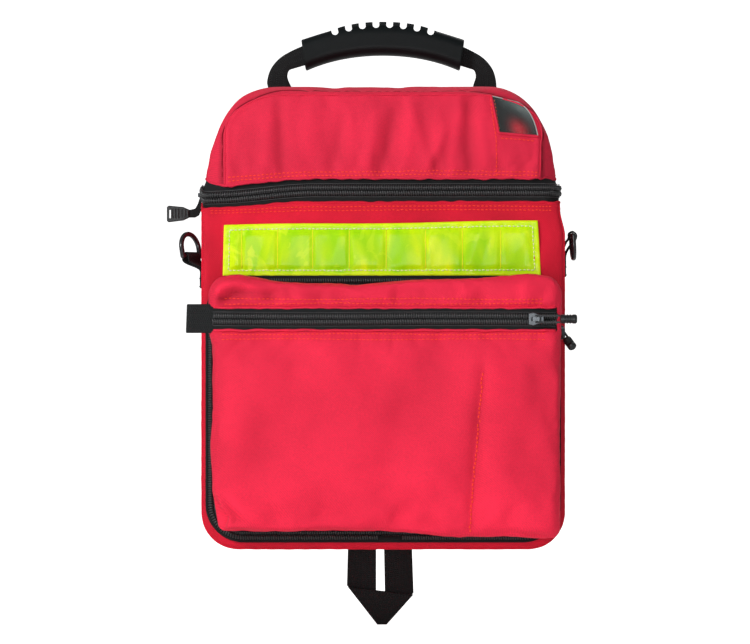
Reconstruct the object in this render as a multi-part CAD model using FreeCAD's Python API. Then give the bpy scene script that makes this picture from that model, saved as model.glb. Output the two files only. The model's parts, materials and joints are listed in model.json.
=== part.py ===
"""Soft carrying case for first responder equipment: a zipped red fabric case with a flip-back lid,
a zip-off front pocket that folds down, a webbing handle with a moulded grip, side D-rings and a
lower webbing loop.

Frame: millimetres, +X to the viewer's right when facing the front, -Y is the front, +Z is up.
The origin is the middle of the case's flat base. Left is -X and right is +X.
"""
import FreeCAD, Part
import math
import os

V = FreeCAD.Vector
os.makedirs("parts", exist_ok=True)

# ---------------------------------------------------------------- driving dimensions
CASE_HW = 156.0        # half width of the case
CASE_HD = 60.0         # half depth of the case, pocket left out
CASE_TOP = 297.4       # upper edge of the case fabric, where the zip tape starts
CASE_R = 32.0          # lower corner radius, seen from the front
EDGE_R = 7.0           # soft rounding of the case's front edges
WALL = 4.0             # padded wall
BACK_T = 6.0           # padded back panel
LINING_T = 0.8
FRONT_IN = -CASE_HD + WALL     # inner face of the front panel
BACK_IN = CASE_HD - BACK_T     # inner face of the back panel

LID_HW = 153.0         # half width of the lid
LID_BOT = 317.6        # lower edge of the lid fabric
LID_TOP = 396.0
LID_R = 68.0           # big lid corner radius
LID_FRONT_HW = 136.5   # the lid's front panel is smaller than its gusset
LID_FRONT_TOP = 389.0
LID_FRONT_R = 45.0
LID_TAPER_Y = -42.0    # where the lid starts to narrow towards its front panel

ZIP_Z = 307.5          # parting line of the lid zip
ZIP_GAP = 0.3          # half gap between the meshed coils
ZIP_LOW, ZIP_HIGH = ZIP_Z - ZIP_GAP, ZIP_Z + ZIP_GAP
ZIP_CORNER = 16.0      # plan corner radius of the lid zip
COIL_H = 4.9           # height of one coil row
COIL_T = 2.6           # thickness of a coil row
TAPE_T = 1.2

RING_HW, RING_Z0, RING_Z1, RING_R = 145.0, 13.5, 228.0, 26.0   # pocket's perimeter zip line
POC_HW, POC_Z0, POC_Z1, POC_R = 146.5, 15.8, 230.0, 24.0       # pocket at its fullest
POC_BACK, POC_FRONT = -61.6, -104.0                            # pocket back and front planes
POC_T = 3.0            # pocket wall
POC_ZIP_Z = 197.5      # parting line of the pocket zip

WEB_T = 2.0            # webbing thickness
GAP = 0.1              # clearance between pieces laid on each other
FAR = 300.0            # reach of cutting boxes beyond the case


# ---------------------------------------------------------------- helpers
def box(x0, x1, y0, y1, z0, z1):
    return Part.makeBox(x1 - x0, y1 - y0, z1 - z0, V(x0, y0, z0))


def closed_wire(points):
    return Part.makePolygon(points + [points[0]])


def poly_xz(points, y0, y1):
    """Plate with an outline of (x, z) points, from y0 to y1."""
    face = Part.Face(closed_wire([V(x, y0, z) for x, z in points]))
    return face.extrude(V(0, y1 - y0, 0))


def arc(a, b, c):
    return Part.Arc(a, b, c).toShape()


def spline_edge(points, y):
    curve = Part.BSplineCurve()
    curve.interpolate([V(x, y, z) for x, z in points])
    return curve.toShape()


def face_from_edges(edges):
    return Part.Face(Part.Wire(Part.__sortEdges__(edges)))


def rr_wire_xz(x0, x1, z0, z1, r, y, rtop=None):
    """Rounded rectangle in the XZ plane at y. rtop is the upper corners' radius."""
    rt = r if rtop is None else rtop
    k = math.sqrt(0.5)
    line = Part.makeLine
    return Part.Wire([
        line(V(x0 + r, y, z0), V(x1 - r, y, z0)),
        arc(V(x1 - r, y, z0), V(x1 - r + r * k, y, z0 + r - r * k), V(x1, y, z0 + r)),
        line(V(x1, y, z0 + r), V(x1, y, z1 - rt)),
        arc(V(x1, y, z1 - rt), V(x1 - rt + rt * k, y, z1 - rt + rt * k), V(x1 - rt, y, z1)),
        line(V(x1 - rt, y, z1), V(x0 + rt, y, z1)),
        arc(V(x0 + rt, y, z1), V(x0 + rt - rt * k, y, z1 - rt + rt * k), V(x0, y, z1 - rt)),
        line(V(x0, y, z1 - rt), V(x0, y, z0 + r)),
        arc(V(x0, y, z0 + r), V(x0 + r - r * k, y, z0 + r - r * k), V(x0 + r, y, z0)),
    ])


def rr_xz(x0, x1, z0, z1, r, y0, y1, rtop=None):
    return Part.Face(rr_wire_xz(x0, x1, z0, z1, r, y0, rtop)).extrude(V(0, y1 - y0, 0))


def rr_xy(x0, x1, y0, y1, r, z0, z1):
    """Plan shape with rounded front corners and a square back, extruded upwards."""
    k = math.sqrt(0.5)
    line = Part.makeLine
    wire = Part.Wire([
        line(V(x0 + r, y0, z0), V(x1 - r, y0, z0)),
        arc(V(x1 - r, y0, z0), V(x1 - r + r * k, y0 + r - r * k, z0), V(x1, y0 + r, z0)),
        line(V(x1, y0 + r, z0), V(x1, y1, z0)),
        line(V(x1, y1, z0), V(x0, y1, z0)),
        line(V(x0, y1, z0), V(x0, y0 + r, z0)),
        arc(V(x0, y0 + r, z0), V(x0 + r - r * k, y0 + r - r * k, z0), V(x0 + r, y0, z0)),
    ])
    return Part.Face(wire).extrude(V(0, 0, z1 - z0))


def loft(wires):
    return Part.makeLoft(wires, True, True)


def y_slab(shape, y0, y1, z0=-5, z1=400):
    """The part of a shape between two Y planes, and between two heights if given."""
    return shape.common(box(-FAR, FAR, y0, y1, z0, z1))


def frame(x_axis, y_axis, z_axis, origin):
    """Matrix that carries the local axes and origin to the given ones."""
    rows = []
    for axis in "xyz":
        rows += [getattr(v, axis) for v in (x_axis, y_axis, z_axis, origin)]
    return FreeCAD.Matrix(*rows, 0, 0, 0, 1)


def edge_run(edge, axis):
    """Distance between an edge's ends along one axis."""
    first, last = edge.Vertexes[0].Point, edge.Vertexes[-1].Point
    return abs(getattr(first, axis) - getattr(last, axis))


def edges_along(shape, axis, least):
    return [e for e in shape.Edges if edge_run(e, axis) > least]


def in_plane(edge, axis, value):
    return all(abs(getattr(v.Point, axis) - value) < 1e-6 for v in edge.Vertexes)


def try_fillet(shape, edges, r):
    # Guards against a fillet that cannot be built: the edges are then left sharp.
    try:
        s = shape.makeFillet(r, edges)
        if s.isValid() and s.Volume > 0:
            return s
    except Exception:
        pass
    return shape


def save(name, shape):
    """Merge coplanar faces, drop slivers and write the piece."""
    # Guards against a failed merge: the unmerged shape is then kept.
    try:
        merged = shape.removeSplitter()
        if merged.isValid() and merged.Solids:
            shape = merged
    except Exception:
        pass
    solids = [s for s in shape.Solids if s.Volume > 0.5]
    piece = solids[0] if len(solids) == 1 else Part.makeCompound(solids)
    piece.exportStep("parts/%s.step" % name)


# ---------------------------------------------------------------- case shell
def case_body(inset, y0, y1, z0, z1, edge_r):
    """Case block with an open-ended square top at z1 and softened front edges."""
    s = rr_xz(-CASE_HW + inset, CASE_HW - inset, z0, z1 + 40, CASE_R - inset, y0, y1, rtop=1.0)
    s = s.cut(box(-FAR, FAR, -FAR, FAR, z1, z1 + 200))
    front_edges = [e for e in s.Edges
                   if in_plane(e, "y", y0) and min(v.Point.z for v in e.Vertexes) < z1 - 1]
    return try_fillet(s, front_edges, edge_r)


case_shell = case_body(0, -CASE_HD, CASE_HD, 0.0, CASE_TOP, EDGE_R).cut(
    case_body(WALL, FRONT_IN, BACK_IN, WALL, CASE_TOP + 5, EDGE_R - WALL))
save("case_front_panel", y_slab(case_shell, -CASE_HD - 5, FRONT_IN))
# the back panel runs up past the sides to the hinge line
back_top = box(-CASE_HW, CASE_HW, BACK_IN, CASE_HD, CASE_TOP, ZIP_LOW)
save("case_back_panel", y_slab(case_shell, BACK_IN, CASE_HD + 5).fuse(back_top))
save("case_gusset", y_slab(case_shell, FRONT_IN, BACK_IN))

# ---------------------------------------------------------------- padding, base board and lining
FOAM_HW, FOAM_Z0, FOAM_Z1, FOAM_R, FOAM_TOP_R = 146, 9.0, 291.0, 22, 4
FRONT_FOAM = (FRONT_IN + GAP, FRONT_IN + 3.1)    # y range
BACK_FOAM = (BACK_IN - 5.1, BACK_IN - GAP)
BOARD_HW = 118
LINING_TOP = 296.0

for name, (y0, y1) in (("front_foam_pad", FRONT_FOAM), ("back_foam_pad", BACK_FOAM)):
    save(name, rr_xz(-FOAM_HW, FOAM_HW, FOAM_Z0, FOAM_Z1, FOAM_R, y0, y1, rtop=FOAM_TOP_R))
save("base_board", box(-BOARD_HW, BOARD_HW, FRONT_FOAM[1] + 0.5, BACK_FOAM[0] - 0.5,
                       WALL + GAP, WALL + 2.6))


def case_lining_block(inset, top):
    hw = CASE_HW - WALL - 0.2 - inset
    return rr_xz(-hw, hw, WALL + 2.8 + inset, top, CASE_R - WALL - inset,
                 FRONT_FOAM[1] + GAP + inset, BACK_FOAM[0] - GAP - inset, rtop=1)


case_lining = case_lining_block(0, 330).cut(case_lining_block(LINING_T, 331))
save("case_lining", case_lining.cut(box(-FAR, FAR, -FAR, FAR, LINING_TOP, 400)))

# ---------------------------------------------------------------- lid zip, both halves
TAPE_SEAT = 0.8     # how far the tape's outer face lies inside the case surface
COIL_SEAT = 0.75    # the same for the coil's inner face
ZIP_END_Y = 52.0    # back ends of the zip


def u_band(outer, inner, z0, z1):
    """U-shaped band round the front and both sides. outer and inner are the offsets of its faces
    from the case's outer surface, positive outwards."""
    def block(offset, y_end, low, high):
        return rr_xy(-CASE_HW - offset, CASE_HW + offset, -CASE_HD - offset, y_end,
                     ZIP_CORNER + offset, low, high)
    return block(outer, ZIP_END_Y, z0, z1).cut(block(inner, ZIP_END_Y + 5, z0 - 1, z1 + 1))


ZIP_TAPE = (-TAPE_SEAT, -TAPE_SEAT - TAPE_T)
ZIP_COIL = (-COIL_SEAT + COIL_T, -COIL_SEAT)
save("case_zip_tape", u_band(*ZIP_TAPE, CASE_TOP + GAP, ZIP_LOW))
save("case_zip_coil", u_band(*ZIP_COIL, ZIP_LOW - COIL_H, ZIP_LOW))
save("lid_zip_tape", u_band(*ZIP_TAPE, ZIP_HIGH, LID_BOT - GAP))
save("lid_zip_coil", u_band(*ZIP_COIL, ZIP_HIGH, ZIP_HIGH + COIL_H))

# ---------------------------------------------------------------- lid
def lid_body(inset, y_back, y_front):
    """Straight back part and a nose that narrows to the front, open below LID_BOT."""
    def outline(hw, top, r, y):
        return rr_wire_xz(-hw + inset, hw - inset, 250.0, top - inset, 1.0, y, rtop=r - inset)
    wide = outline(LID_HW, LID_TOP, LID_R, LID_TAPER_Y)
    narrow = outline(LID_FRONT_HW, LID_FRONT_TOP, LID_FRONT_R, y_front)
    main = Part.Face(wide).extrude(V(0, y_back - LID_TAPER_Y, 0))
    s = main.fuse(loft([wide, narrow]))
    return s.cut(box(-FAR, FAR, -FAR, FAR, 0, LID_BOT))


def lid_cavity(inset, y_back, y_front):
    """Lid body carried 5 mm lower, so that it cuts clean through the open bottom."""
    body = lid_body(inset, y_back, y_front)
    return body.fuse(body.translated(V(0, 0, -5)))


WINDOW_SPLIT_X = 89.0    # seam between the front panel and the window panel
# (x, z) outlines of the opening and of the sheet behind it
WINDOW_HOLE = [(94.0, 380.4), (103.5, 379.6), (111.5, 376.0), (118.0, 370.6),
               (123.8, 362.6), (127.5, 355.0), (100.0, 355.0), (96.5, 357.0)]
WINDOW_SHEET = [(91.2, 382.0), (104.0, 381.2), (112.5, 377.5), (119.5, 371.5),
                (125.3, 363.5), (129.6, 351.0), (92.5, 351.0)]

lid_shell = lid_body(0.0, CASE_HD, -CASE_HD).cut(lid_cavity(WALL, BACK_IN, FRONT_IN))
lid_front = y_slab(lid_shell, -CASE_HD - 5, FRONT_IN)
save("lid_front_panel", lid_front.common(box(-FAR, WINDOW_SPLIT_X - 0.05, -100, 0, 300, 400)))
window_panel = lid_front.common(box(WINDOW_SPLIT_X + 0.05, FAR, -100, 0, 300, 400))
save("window_panel", window_panel.cut(poly_xz(WINDOW_HOLE, -80, -40)))
window_sheet = poly_xz(WINDOW_SHEET, FRONT_IN + GAP, FRONT_IN + 0.6)
save("clear_window", window_sheet)
save("window_insert", window_sheet.translated(V(0, 0.7, 0)))
save("lid_gusset", y_slab(lid_shell, FRONT_IN, BACK_IN))

# the lid's back panel runs down to the hinge line
lid_back_low = box(-CASE_HW + 1.0, CASE_HW - 1.0, BACK_IN, CASE_HD, ZIP_HIGH, LID_BOT)
save("lid_back_panel", y_slab(lid_shell, BACK_IN, CASE_HD + 5).fuse(lid_back_low))
# fabric binding sewn along the hinge line, on the case side
save("lid_hinge_binding", box(-CASE_HW + 2, CASE_HW - 2, CASE_HD + GAP, CASE_HD + 1.1,
                              ZIP_Z - 15.0, ZIP_Z - 1.4))

LID_LINING = WALL + 0.3    # inset of the lining's outer face
LINING_BACK, LINING_FRONT = BACK_IN - 0.3, FRONT_IN + 2.0
lid_lining = lid_body(LID_LINING, LINING_BACK, LINING_FRONT).cut(
    lid_cavity(LID_LINING + LINING_T, LINING_BACK - LINING_T, LINING_FRONT + LINING_T))
save("lid_lining", lid_lining.cut(box(-FAR, FAR, -FAR, FAR, 300, LID_BOT + 1.0)))

# ---------------------------------------------------------------- reflective strip
STRIP_X0, STRIP_X1 = -137.0, 134.5
STRIP_Z0, STRIP_Z1 = 234.2, 281.6
STRIP_T = 1.0
save("reflective_strip", box(STRIP_X0, STRIP_X1, -CASE_HD - GAP - STRIP_T, -CASE_HD - GAP,
                             STRIP_Z0, STRIP_Z1))

# ---------------------------------------------------------------- perimeter zip of the pocket
RING_GAP = 0.35        # half gap between the meshed coils
RING_COIL = 4.2        # outer reach of a coil row from the parting line
RING_TAPE = 1.5        # tape showing beyond the case-side coil
POCKET_TAPE = 5.6      # reach of the pocket-side tape
RING_COIL_T = 2.3
TAPE_Y0, TAPE_Y1 = -CASE_HD - GAP - TAPE_T, -CASE_HD - GAP
RING_COIL_Y = TAPE_Y0 - RING_COIL_T    # front face of the coils


def ring_band(outer, inner, y0, y1):
    """Closed band in the XZ plane round the pocket. Offsets are from the perimeter zip's parting
    line, positive outwards."""
    def block(offset, ya, yb):
        return rr_xz(-RING_HW - offset, RING_HW + offset, RING_Z0 - offset, RING_Z1 + offset,
                     RING_R + offset, ya, yb)
    return block(outer, y0, y1).cut(block(inner, y0 - 1, y1 + 1))


save("front_zip_tape_case", ring_band(RING_COIL + RING_TAPE, RING_GAP, TAPE_Y0, TAPE_Y1))
save("front_zip_coil_case", ring_band(RING_COIL, RING_GAP, RING_COIL_Y, TAPE_Y0))
save("front_zip_tape_pocket", ring_band(-RING_GAP, -POCKET_TAPE, TAPE_Y0, TAPE_Y1))
save("front_zip_coil_pocket", ring_band(-RING_GAP, -RING_COIL, RING_COIL_Y, TAPE_Y0))
# the two ends of the perimeter zip meet at the bottom under a small cover
save("front_zip_end_cover", box(-4.5, 15.5, RING_COIL_Y - 0.9, RING_COIL_Y - GAP,
                                RING_Z0 - RING_COIL - RING_TAPE, RING_Z0 - 1.1))

# ---------------------------------------------------------------- front pocket
NECK = 5.9             # the neck sits this far inside the parting line
NECK_Y = -70.2         # front end of the neck
FULL_Y = -75.5         # where the pocket reaches its full size
SHOULDER_Y = -93.0     # where it starts to narrow to the front
BEVEL_Y = -99.5
GUSSET_FRONT = -96.0   # seam between gusset and front panel
POC_ZIP_HALF = 9.2     # half height of the pocket zip's visible tape


def pocket_body(inset, y_back, y_front):
    def outline(hw, z0, z1, r, y):
        return rr_wire_xz(-hw + inset, hw - inset, z0 + inset, z1 - inset, r - inset, y)

    def neck(y):
        return outline(RING_HW - NECK, RING_Z0 + NECK, RING_Z1 - NECK, RING_R - NECK + 2, y)

    def full(y, trim=0, r_trim=0):
        return outline(POC_HW - trim, POC_Z0 + trim, POC_Z1 - trim, POC_R - r_trim, y)

    neck_y = NECK_Y - inset * 0.3
    full_y = FULL_Y - inset * 0.3
    s = Part.Face(neck(y_back)).extrude(V(0, neck_y - y_back, 0))
    s = s.fuse(loft([neck(neck_y), full(full_y)]))
    s = s.fuse(Part.Face(full(full_y)).extrude(V(0, SHOULDER_Y - full_y, 0)))
    s = s.fuse(loft([full(SHOULDER_Y), full(BEVEL_Y, 3, 2)]))
    return s.fuse(loft([full(BEVEL_Y, 3, 2), full(y_front, 8, 5)]))


pocket_shell = pocket_body(0.0, POC_BACK, POC_FRONT).cut(
    pocket_body(POC_T, POC_BACK - POC_T, POC_FRONT + POC_T))
SLOT_Z0, SLOT_Z1 = POC_ZIP_Z - POC_ZIP_HALF, POC_ZIP_Z + POC_ZIP_HALF
zip_slot = box(-POC_HW + 6, POC_HW - 6, -120, GUSSET_FRONT, SLOT_Z0, SLOT_Z1)
tab_notch = box(-200, -POC_HW + 6.0, -100.3, GUSSET_FRONT, SLOT_Z0 - 3.2, SLOT_Z1 + 3.8)
save("pocket_back_panel", y_slab(pocket_shell, POC_BACK - POC_T, POC_BACK + 5))
save("pocket_gusset", y_slab(pocket_shell, GUSSET_FRONT, POC_BACK - POC_T))
pocket_front = y_slab(pocket_shell, -150, GUSSET_FRONT).cut(zip_slot).cut(tab_notch)
save("pocket_front_panel", y_slab(pocket_front, -150, GUSSET_FRONT, z1=SLOT_Z0 - 0.05))
save("pocket_top_panel", y_slab(pocket_front, -150, GUSSET_FRONT, z0=SLOT_Z0))

POC_TAPE_HW = POC_HW - 8.2
POC_TAPE_Y = POC_FRONT + 0.4       # front face of the tape
POC_COIL_BACK = POC_FRONT + 0.35   # back face of the coils
POC_COIL_Y = POC_COIL_BACK - COIL_T
low, high = POC_ZIP_Z - ZIP_GAP, POC_ZIP_Z + ZIP_GAP
# half, tape z range, coil z range
for half, tape_z, coil_z in (("lower", (SLOT_Z0 + 0.05, low), (low - COIL_H, low)),
                             ("upper", (high, SLOT_Z1 - 0.05), (high, high + COIL_H))):
    save("pocket_zip_tape_" + half,
         box(-POC_TAPE_HW, POC_TAPE_HW, POC_TAPE_Y, POC_TAPE_Y + TAPE_T, *tape_z))
    save("pocket_zip_coil_" + half,
         box(-POC_TAPE_HW, POC_TAPE_HW, POC_COIL_Y, POC_COIL_BACK, *coil_z))
# tab that sticks out at the left end of the pocket zip
save("pocket_zip_end_tab", box(-165.0, -POC_HW + 5.6, -99.8, -97.0,
                               POC_ZIP_Z - 11.8, POC_ZIP_Z + 12.6))
save("pocket_inner_sleeve", box(77.0, 131.5, POC_FRONT + POC_T + 0.2, POC_FRONT + POC_T + 1.0,
                                31.5, 152.0))

# ---------------------------------------------------------------- zip sliders
EYE_RISE = 1.7      # height of the crown's eye above the plate
SLIDER_T = 1.6      # plate thickness of the lid and pocket sliders
FRONT_SLIDER_T = 1.4
SLIDER_GAP = 0.3    # slider above the coils


def slider_plate(length, width, t):
    """Shield-shaped plate in the local XY plane: X is the travel direction, thickness +Z."""
    l, w = length / 2.0, width / 2.0
    side = [(-l, w * 0.62), (-l * 0.35, w * 0.72), (l * 0.35, w), (l, w * 0.86)]
    outline = [V(x, -y, 0) for x, y in side] + [V(x, y, 0) for x, y in reversed(side)]
    s = Part.Face(closed_wire(outline)).extrude(V(0, 0, t))
    s = try_fillet(s, edges_along(s, "z", t * 0.9), 1.0)
    return try_fillet(s, [e for e in s.Edges if in_plane(e, "z", t)], 0.5)


def slider(length=13.0, width=11.0, t=SLIDER_T):
    """Slider with a crown that holds the pull. The crown's eye runs across the travel."""
    crown = box(-4.2, 4.2, -1.7, 1.7, t - 0.2, t + 4.2)
    top = [e for e in edges_along(crown, "y", 3) if e.Vertexes[0].Point.z > t + 3]
    crown = try_fillet(crown, top, 1.8)
    eye = Part.makeCylinder(1.25, 10, V(0, -5, t + EYE_RISE), V(0, 1, 0))
    eye = eye.fuse(box(-2.0, 2.0, -5, 5, t + 0.45, t + 2.95))
    return slider_plate(length, width, t).fuse(crown).cut(eye)


def place(shape, origin, x_axis, z_axis):
    return shape.transformed(frame(x_axis, z_axis.cross(x_axis), z_axis, origin), True)


# lid zip slider on the left side
lid_slider = V(-CASE_HW - COIL_T + COIL_SEAT - SLIDER_GAP, 34.0, ZIP_Z)
save("lid_zip_slider", place(slider(), lid_slider, V(0, -1, 0), V(-1, 0, 0)))
# pocket zip slider near the right end
pocket_slider = V(128.0, POC_COIL_Y - SLIDER_GAP, POC_ZIP_Z)
save("pocket_zip_slider", place(slider(), pocket_slider, V(-1, 0, 0), V(0, -1, 0)))
# perimeter zip slider on the right, turned outwards. Its plate stays outboard of the parting line.
front_slider = V(RING_HW + 5.6, RING_COIL_Y - SLIDER_GAP, 186.0)
SLIDER_TURN = math.radians(30)
slider_out = V(math.sin(SLIDER_TURN), -math.cos(SLIDER_TURN), 0.0)
save("front_zip_slider", place(slider(12.0, 10.0, FRONT_SLIDER_T), front_slider,
                               V(0, 0, -1), slider_out))

# ---------------------------------------------------------------- lid pull
EYE_X = lid_slider.x - SLIDER_T - EYE_RISE
PULL_Y = lid_slider.y
GRIP_IN, GRIP_OUT = EYE_X - 10.5, -191.5    # x of the moulded end's inner and outer ends
# (x from the eye, z) outline of the folded tape
PULL_TAPE = [(0.8, ZIP_Z + 1.3), (-0.8, ZIP_Z + 1.3), (-0.8, ZIP_Z - 2.2), (-3.0, 299.0),
             (-5.0, 295.6), (-9.0, 294.6), (-12.0, 294.6), (-12.0, 287.6),
             (-5.0, 287.6), (-1.6, 289.5), (0.2, 294.0), (0.8, 300.0)]
# (x, z) outline of the moulded end
PULL_GRIP = [(GRIP_IN, 294.8), (GRIP_IN - 5, 297.0), (GRIP_OUT + 1.5, 298.2), (GRIP_OUT, 296.9),
             (GRIP_OUT, 284.6), (GRIP_OUT + 1.5, 283.4), (GRIP_IN - 5, 285.0), (GRIP_IN, 287.4)]
RIB_PITCH = 2.9


def lid_pull_grip():
    grip = poly_xz(PULL_GRIP, PULL_Y - 2.6, PULL_Y + 2.6)
    grip = try_fillet(grip, [e for e in grip.Edges if edge_run(e, "y") < 0.01], 0.9)
    # upright grooves on both faces
    for i in range(5):
        x = GRIP_OUT + 5.2 + i * RIB_PITCH
        for side in (-1, 1):
            base = V(x, PULL_Y + side * 2.9, 287.0)
            grip = grip.cut(Part.makeCylinder(0.85, 8.4, base, V(0, 0, 1)))
    # slot near the outer end, and the socket for the tape
    grip = grip.cut(box(GRIP_OUT + 2.0, GRIP_OUT + 3.6, PULL_Y - 5, PULL_Y + 5, 287.0, 294.5))
    return grip.cut(box(GRIP_IN - 6.0, GRIP_IN + 5, PULL_Y - 1.0, PULL_Y + 1.0, 287.5, 294.7))


save("lid_pull_tape", poly_xz([(EYE_X + x, z) for x, z in PULL_TAPE], PULL_Y - 0.9, PULL_Y + 0.9))
save("lid_pull_grip", lid_pull_grip())

# ---------------------------------------------------------------- cord pulls
CORD_R = 0.8           # half thickness of the cord
CORD_HALF = 2.7        # half spacing of the loop's two legs


def cord_loop(cord_len):
    """Loop in the local XY plane: its bar lies on X, its legs run along +Y."""
    r = CORD_R
    bar = box(-CORD_HALF - r, CORD_HALF + r, -r, r, -r, r)
    leg = box(-r, r, -r, cord_len, -r, r)
    loop = bar.fuse(leg.translated(V(-CORD_HALF, 0, 0))).fuse(leg.translated(V(CORD_HALF, 0, 0)))
    return try_fillet(loop, [e for e in loop.Edges if e.Length > 4], r * 0.45)


def turned_knob(length, r):
    """Turned end along local +Z with three finger grooves."""
    profile = [(0.0, 0.0), (r * 0.72, 0.0), (r, r * 0.3)]    # (radius, height)
    for i in range(3):
        u = length * (0.34 + 0.17 * i)
        profile += [(r, u - 0.8), (r - 0.5, u - 0.4), (r - 0.5, u + 0.4), (r, u + 0.8)]
    profile += [(r, length - 1.0), (r - 1.0, length), (0.0, length)]
    face = Part.Face(closed_wire([V(x, 0, z) for x, z in profile]))
    return face.revolve(V(0, 0, 0), V(0, 0, 1), 360)


def save_cord_pull(name, eye, direction, across, cord_len, knob_len, knob_r):
    """Cord loop through a slider's eye, and its knob. direction points to the knob; across is the
    eye's axis and is square to it."""
    direction.normalize()
    normal = across.cross(direction).normalize()
    loop = cord_loop(cord_len).transformed(frame(across, direction, normal, eye), True)
    knob_base = eye + direction * (cord_len + 0.05)
    knob_frame = frame(across, normal, direction, knob_base)
    save(name + "_cord", loop)
    save(name + "_knob", turned_knob(knob_len, knob_r).transformed(knob_frame, True))


save_cord_pull("pocket_pull", eye=pocket_slider - V(0, SLIDER_T + EYE_RISE, 0),
               direction=V(0.986, -0.165, 0.0), across=V(0, 0, 1),
               cord_len=20.0, knob_len=14.0, knob_r=3.9)
save_cord_pull("front_pull", eye=front_slider + slider_out * (FRONT_SLIDER_T + EYE_RISE),
               direction=slider_out * 0.8 + V(0, 0, -0.6),
               across=V(-slider_out.y, slider_out.x, 0),
               cord_len=9.0, knob_len=12.0, knob_r=3.8)

# ---------------------------------------------------------------- D-rings and their webbing
D_WIRE = 2.2           # wire radius
D_R = 12.7             # bow radius and half of the straight bar
D_LEG = 7.0            # straight legs between bar and bow
D_BORE = D_WIRE + 0.35 # radius of the webbing's fold round the bar


def d_ring(centre, bar, bow):
    """centre is the middle of the straight bar, bar its unit direction, bow the bow's."""
    s = Part.makeCylinder(D_WIRE, 2 * D_R, centre - bar * D_R, bar)
    for side in (-1, 1):
        corner = centre + bar * (side * D_R)
        s = s.fuse(Part.makeSphere(D_WIRE, corner))
        s = s.fuse(Part.makeCylinder(D_WIRE, D_LEG, corner, bow))
    torus = Part.makeTorus(D_R, D_WIRE, V(0, 0, 0), V(0, 0, 1))
    half = torus.common(box(-30, 30, 0, 30, -10, 10))
    return s.fuse(half.transformed(frame(bar, bow, bar.cross(bow), centre + bow * D_LEG), True))


def ring_webbing(side, centre, bar, z_low, z_top):
    """Webbing sewn up the side wall and folded round the ring's bar."""
    wall_x = side * (CASE_HW + GAP)
    xa, xb = sorted((wall_x, wall_x + side * 3.6))
    strip = box(xa, xb, -11.0, 11.0, z_low, z_top)
    fold = Part.makeCylinder(D_BORE + 2.0, 19.0, centre - bar * 9.5, bar)
    z = z_top - 3
    web = loft([
        closed_wire([V(xa, -9, z), V(xb, -9, z), V(xb, 9, z), V(xa, 9, z)]),
        closed_wire([centre + bar * along + V(x, 0, 0)
                     for along, x in ((-9, -2.2), (-9, 2.2), (9, 2.2), (9, -2.2))]),
    ])
    s = strip.fuse(web).fuse(fold).cut(Part.makeCylinder(D_BORE, 60, centre - bar * 30, bar))
    return s.cut(box(-CASE_HW - GAP, CASE_HW + GAP, -100, 100, 0, 400))


RING_TURN = math.radians(32)    # the left ring is turned in plan
turn_sin, turn_cos = math.sin(RING_TURN), math.cos(RING_TURN)
# name, side, bar centre, bar direction, bow direction, webbing z range.
# The left ring stands up, the right one hangs down.
D_RINGS = [
    ("left", -1, V(-167.5, -2.0, 252.5), V(-turn_sin, -turn_cos, 0.0),
     V(-0.18 * turn_cos, 0.18 * turn_sin, 0.98), (224.0, 246.0)),
    ("right", 1, V(165.5, 0.0, 270.5), V(0.0, 1.0, 0.0), V(0.06, 0.0, -0.998), (232.0, 262.0)),
]
for name, side, centre, bar, bow, z_range in D_RINGS:
    save(name + "_ring_webbing", ring_webbing(side, centre, bar, *z_range))
    save(name + "_d_ring", d_ring(centre, bar, bow.normalize()))

# ---------------------------------------------------------------- handle
HANDLE_Y = 61.6        # plane of the handle webbing
HANDLE_HT = WEB_T / 2 + 0.2    # half thickness of the handle webbing
FOOT_Z = 397.8         # lower ends of the handle webbing
# (x, z) of the right half of the webbing's outer and inner edges, from foot to middle
STRAP_OUTER = [(101.5, FOOT_Z), (102.0, 408.0), (98.5, 421.5), (90.5, 431.5), (80.0, 438.0),
               (70.0, 442.6), (48.0, 449.0), (24.0, 453.0), (0.0, 454.4)]
STRAP_INNER = [(77.5, FOOT_Z), (79.5, 408.0), (80.8, 415.0), (77.0, 419.2), (68.0, 423.4),
               (48.0, 430.8), (24.0, 435.6), (0.0, 437.2)]


def strap_arch(clear):
    """The arched webbing, grown by clear all round."""
    def full_edge(half, grow):
        pts = [(x + (grow if x > 60 else 0), z + grow) for x, z in half]
        return [(-x, z) for x, z in pts[:-1]] + pts[::-1]
    y = HANDLE_Y - HANDLE_HT - clear
    outer, inner = full_edge(STRAP_OUTER, clear), full_edge(STRAP_INNER, -clear)
    left, right = [Part.makeLine(V(outer[i][0], y, outer[i][1]), V(inner[i][0], y, inner[i][1]))
                   for i in (0, -1)]
    face = face_from_edges([spline_edge(outer, y), right, spline_edge(inner, y), left])
    return face.extrude(V(0, 2 * (HANDLE_HT + clear), 0))


save("handle_webbing", strap_arch(0.0))

GRIP_HL = 73.0         # half length of the grip
GRIP_HD = 12.5         # half depth
CREST_HD = 7.5         # half depth of the ridge comb
NOTCH_PITCH = 12.2
NOTCH_R = 3.0
# (x, z) from left to right
GRIP_TOP = [(-GRIP_HL, 447.5), (-GRIP_HL + 14, 452.0), (-40.0, 457.3), (0.0, 460.8),
            (40.0, 457.3), (GRIP_HL - 14, 452.0), (GRIP_HL, 447.5)]
GRIP_BOTTOM = [(-GRIP_HL + 4, 420.2), (-40.0, 429.8), (0.0, 434.0), (40.0, 429.8),
               (GRIP_HL - 4, 420.2)]
CREST_TOP = [(-48.0, 455.0), (-24.0, 461.8), (0.0, 463.4), (24.0, 461.8), (48.0, 455.0)]
CREST_BOTTOM = [(40.0, 450.0), (0.0, 455.0), (-40.0, 450.0)]    # right to left


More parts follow.
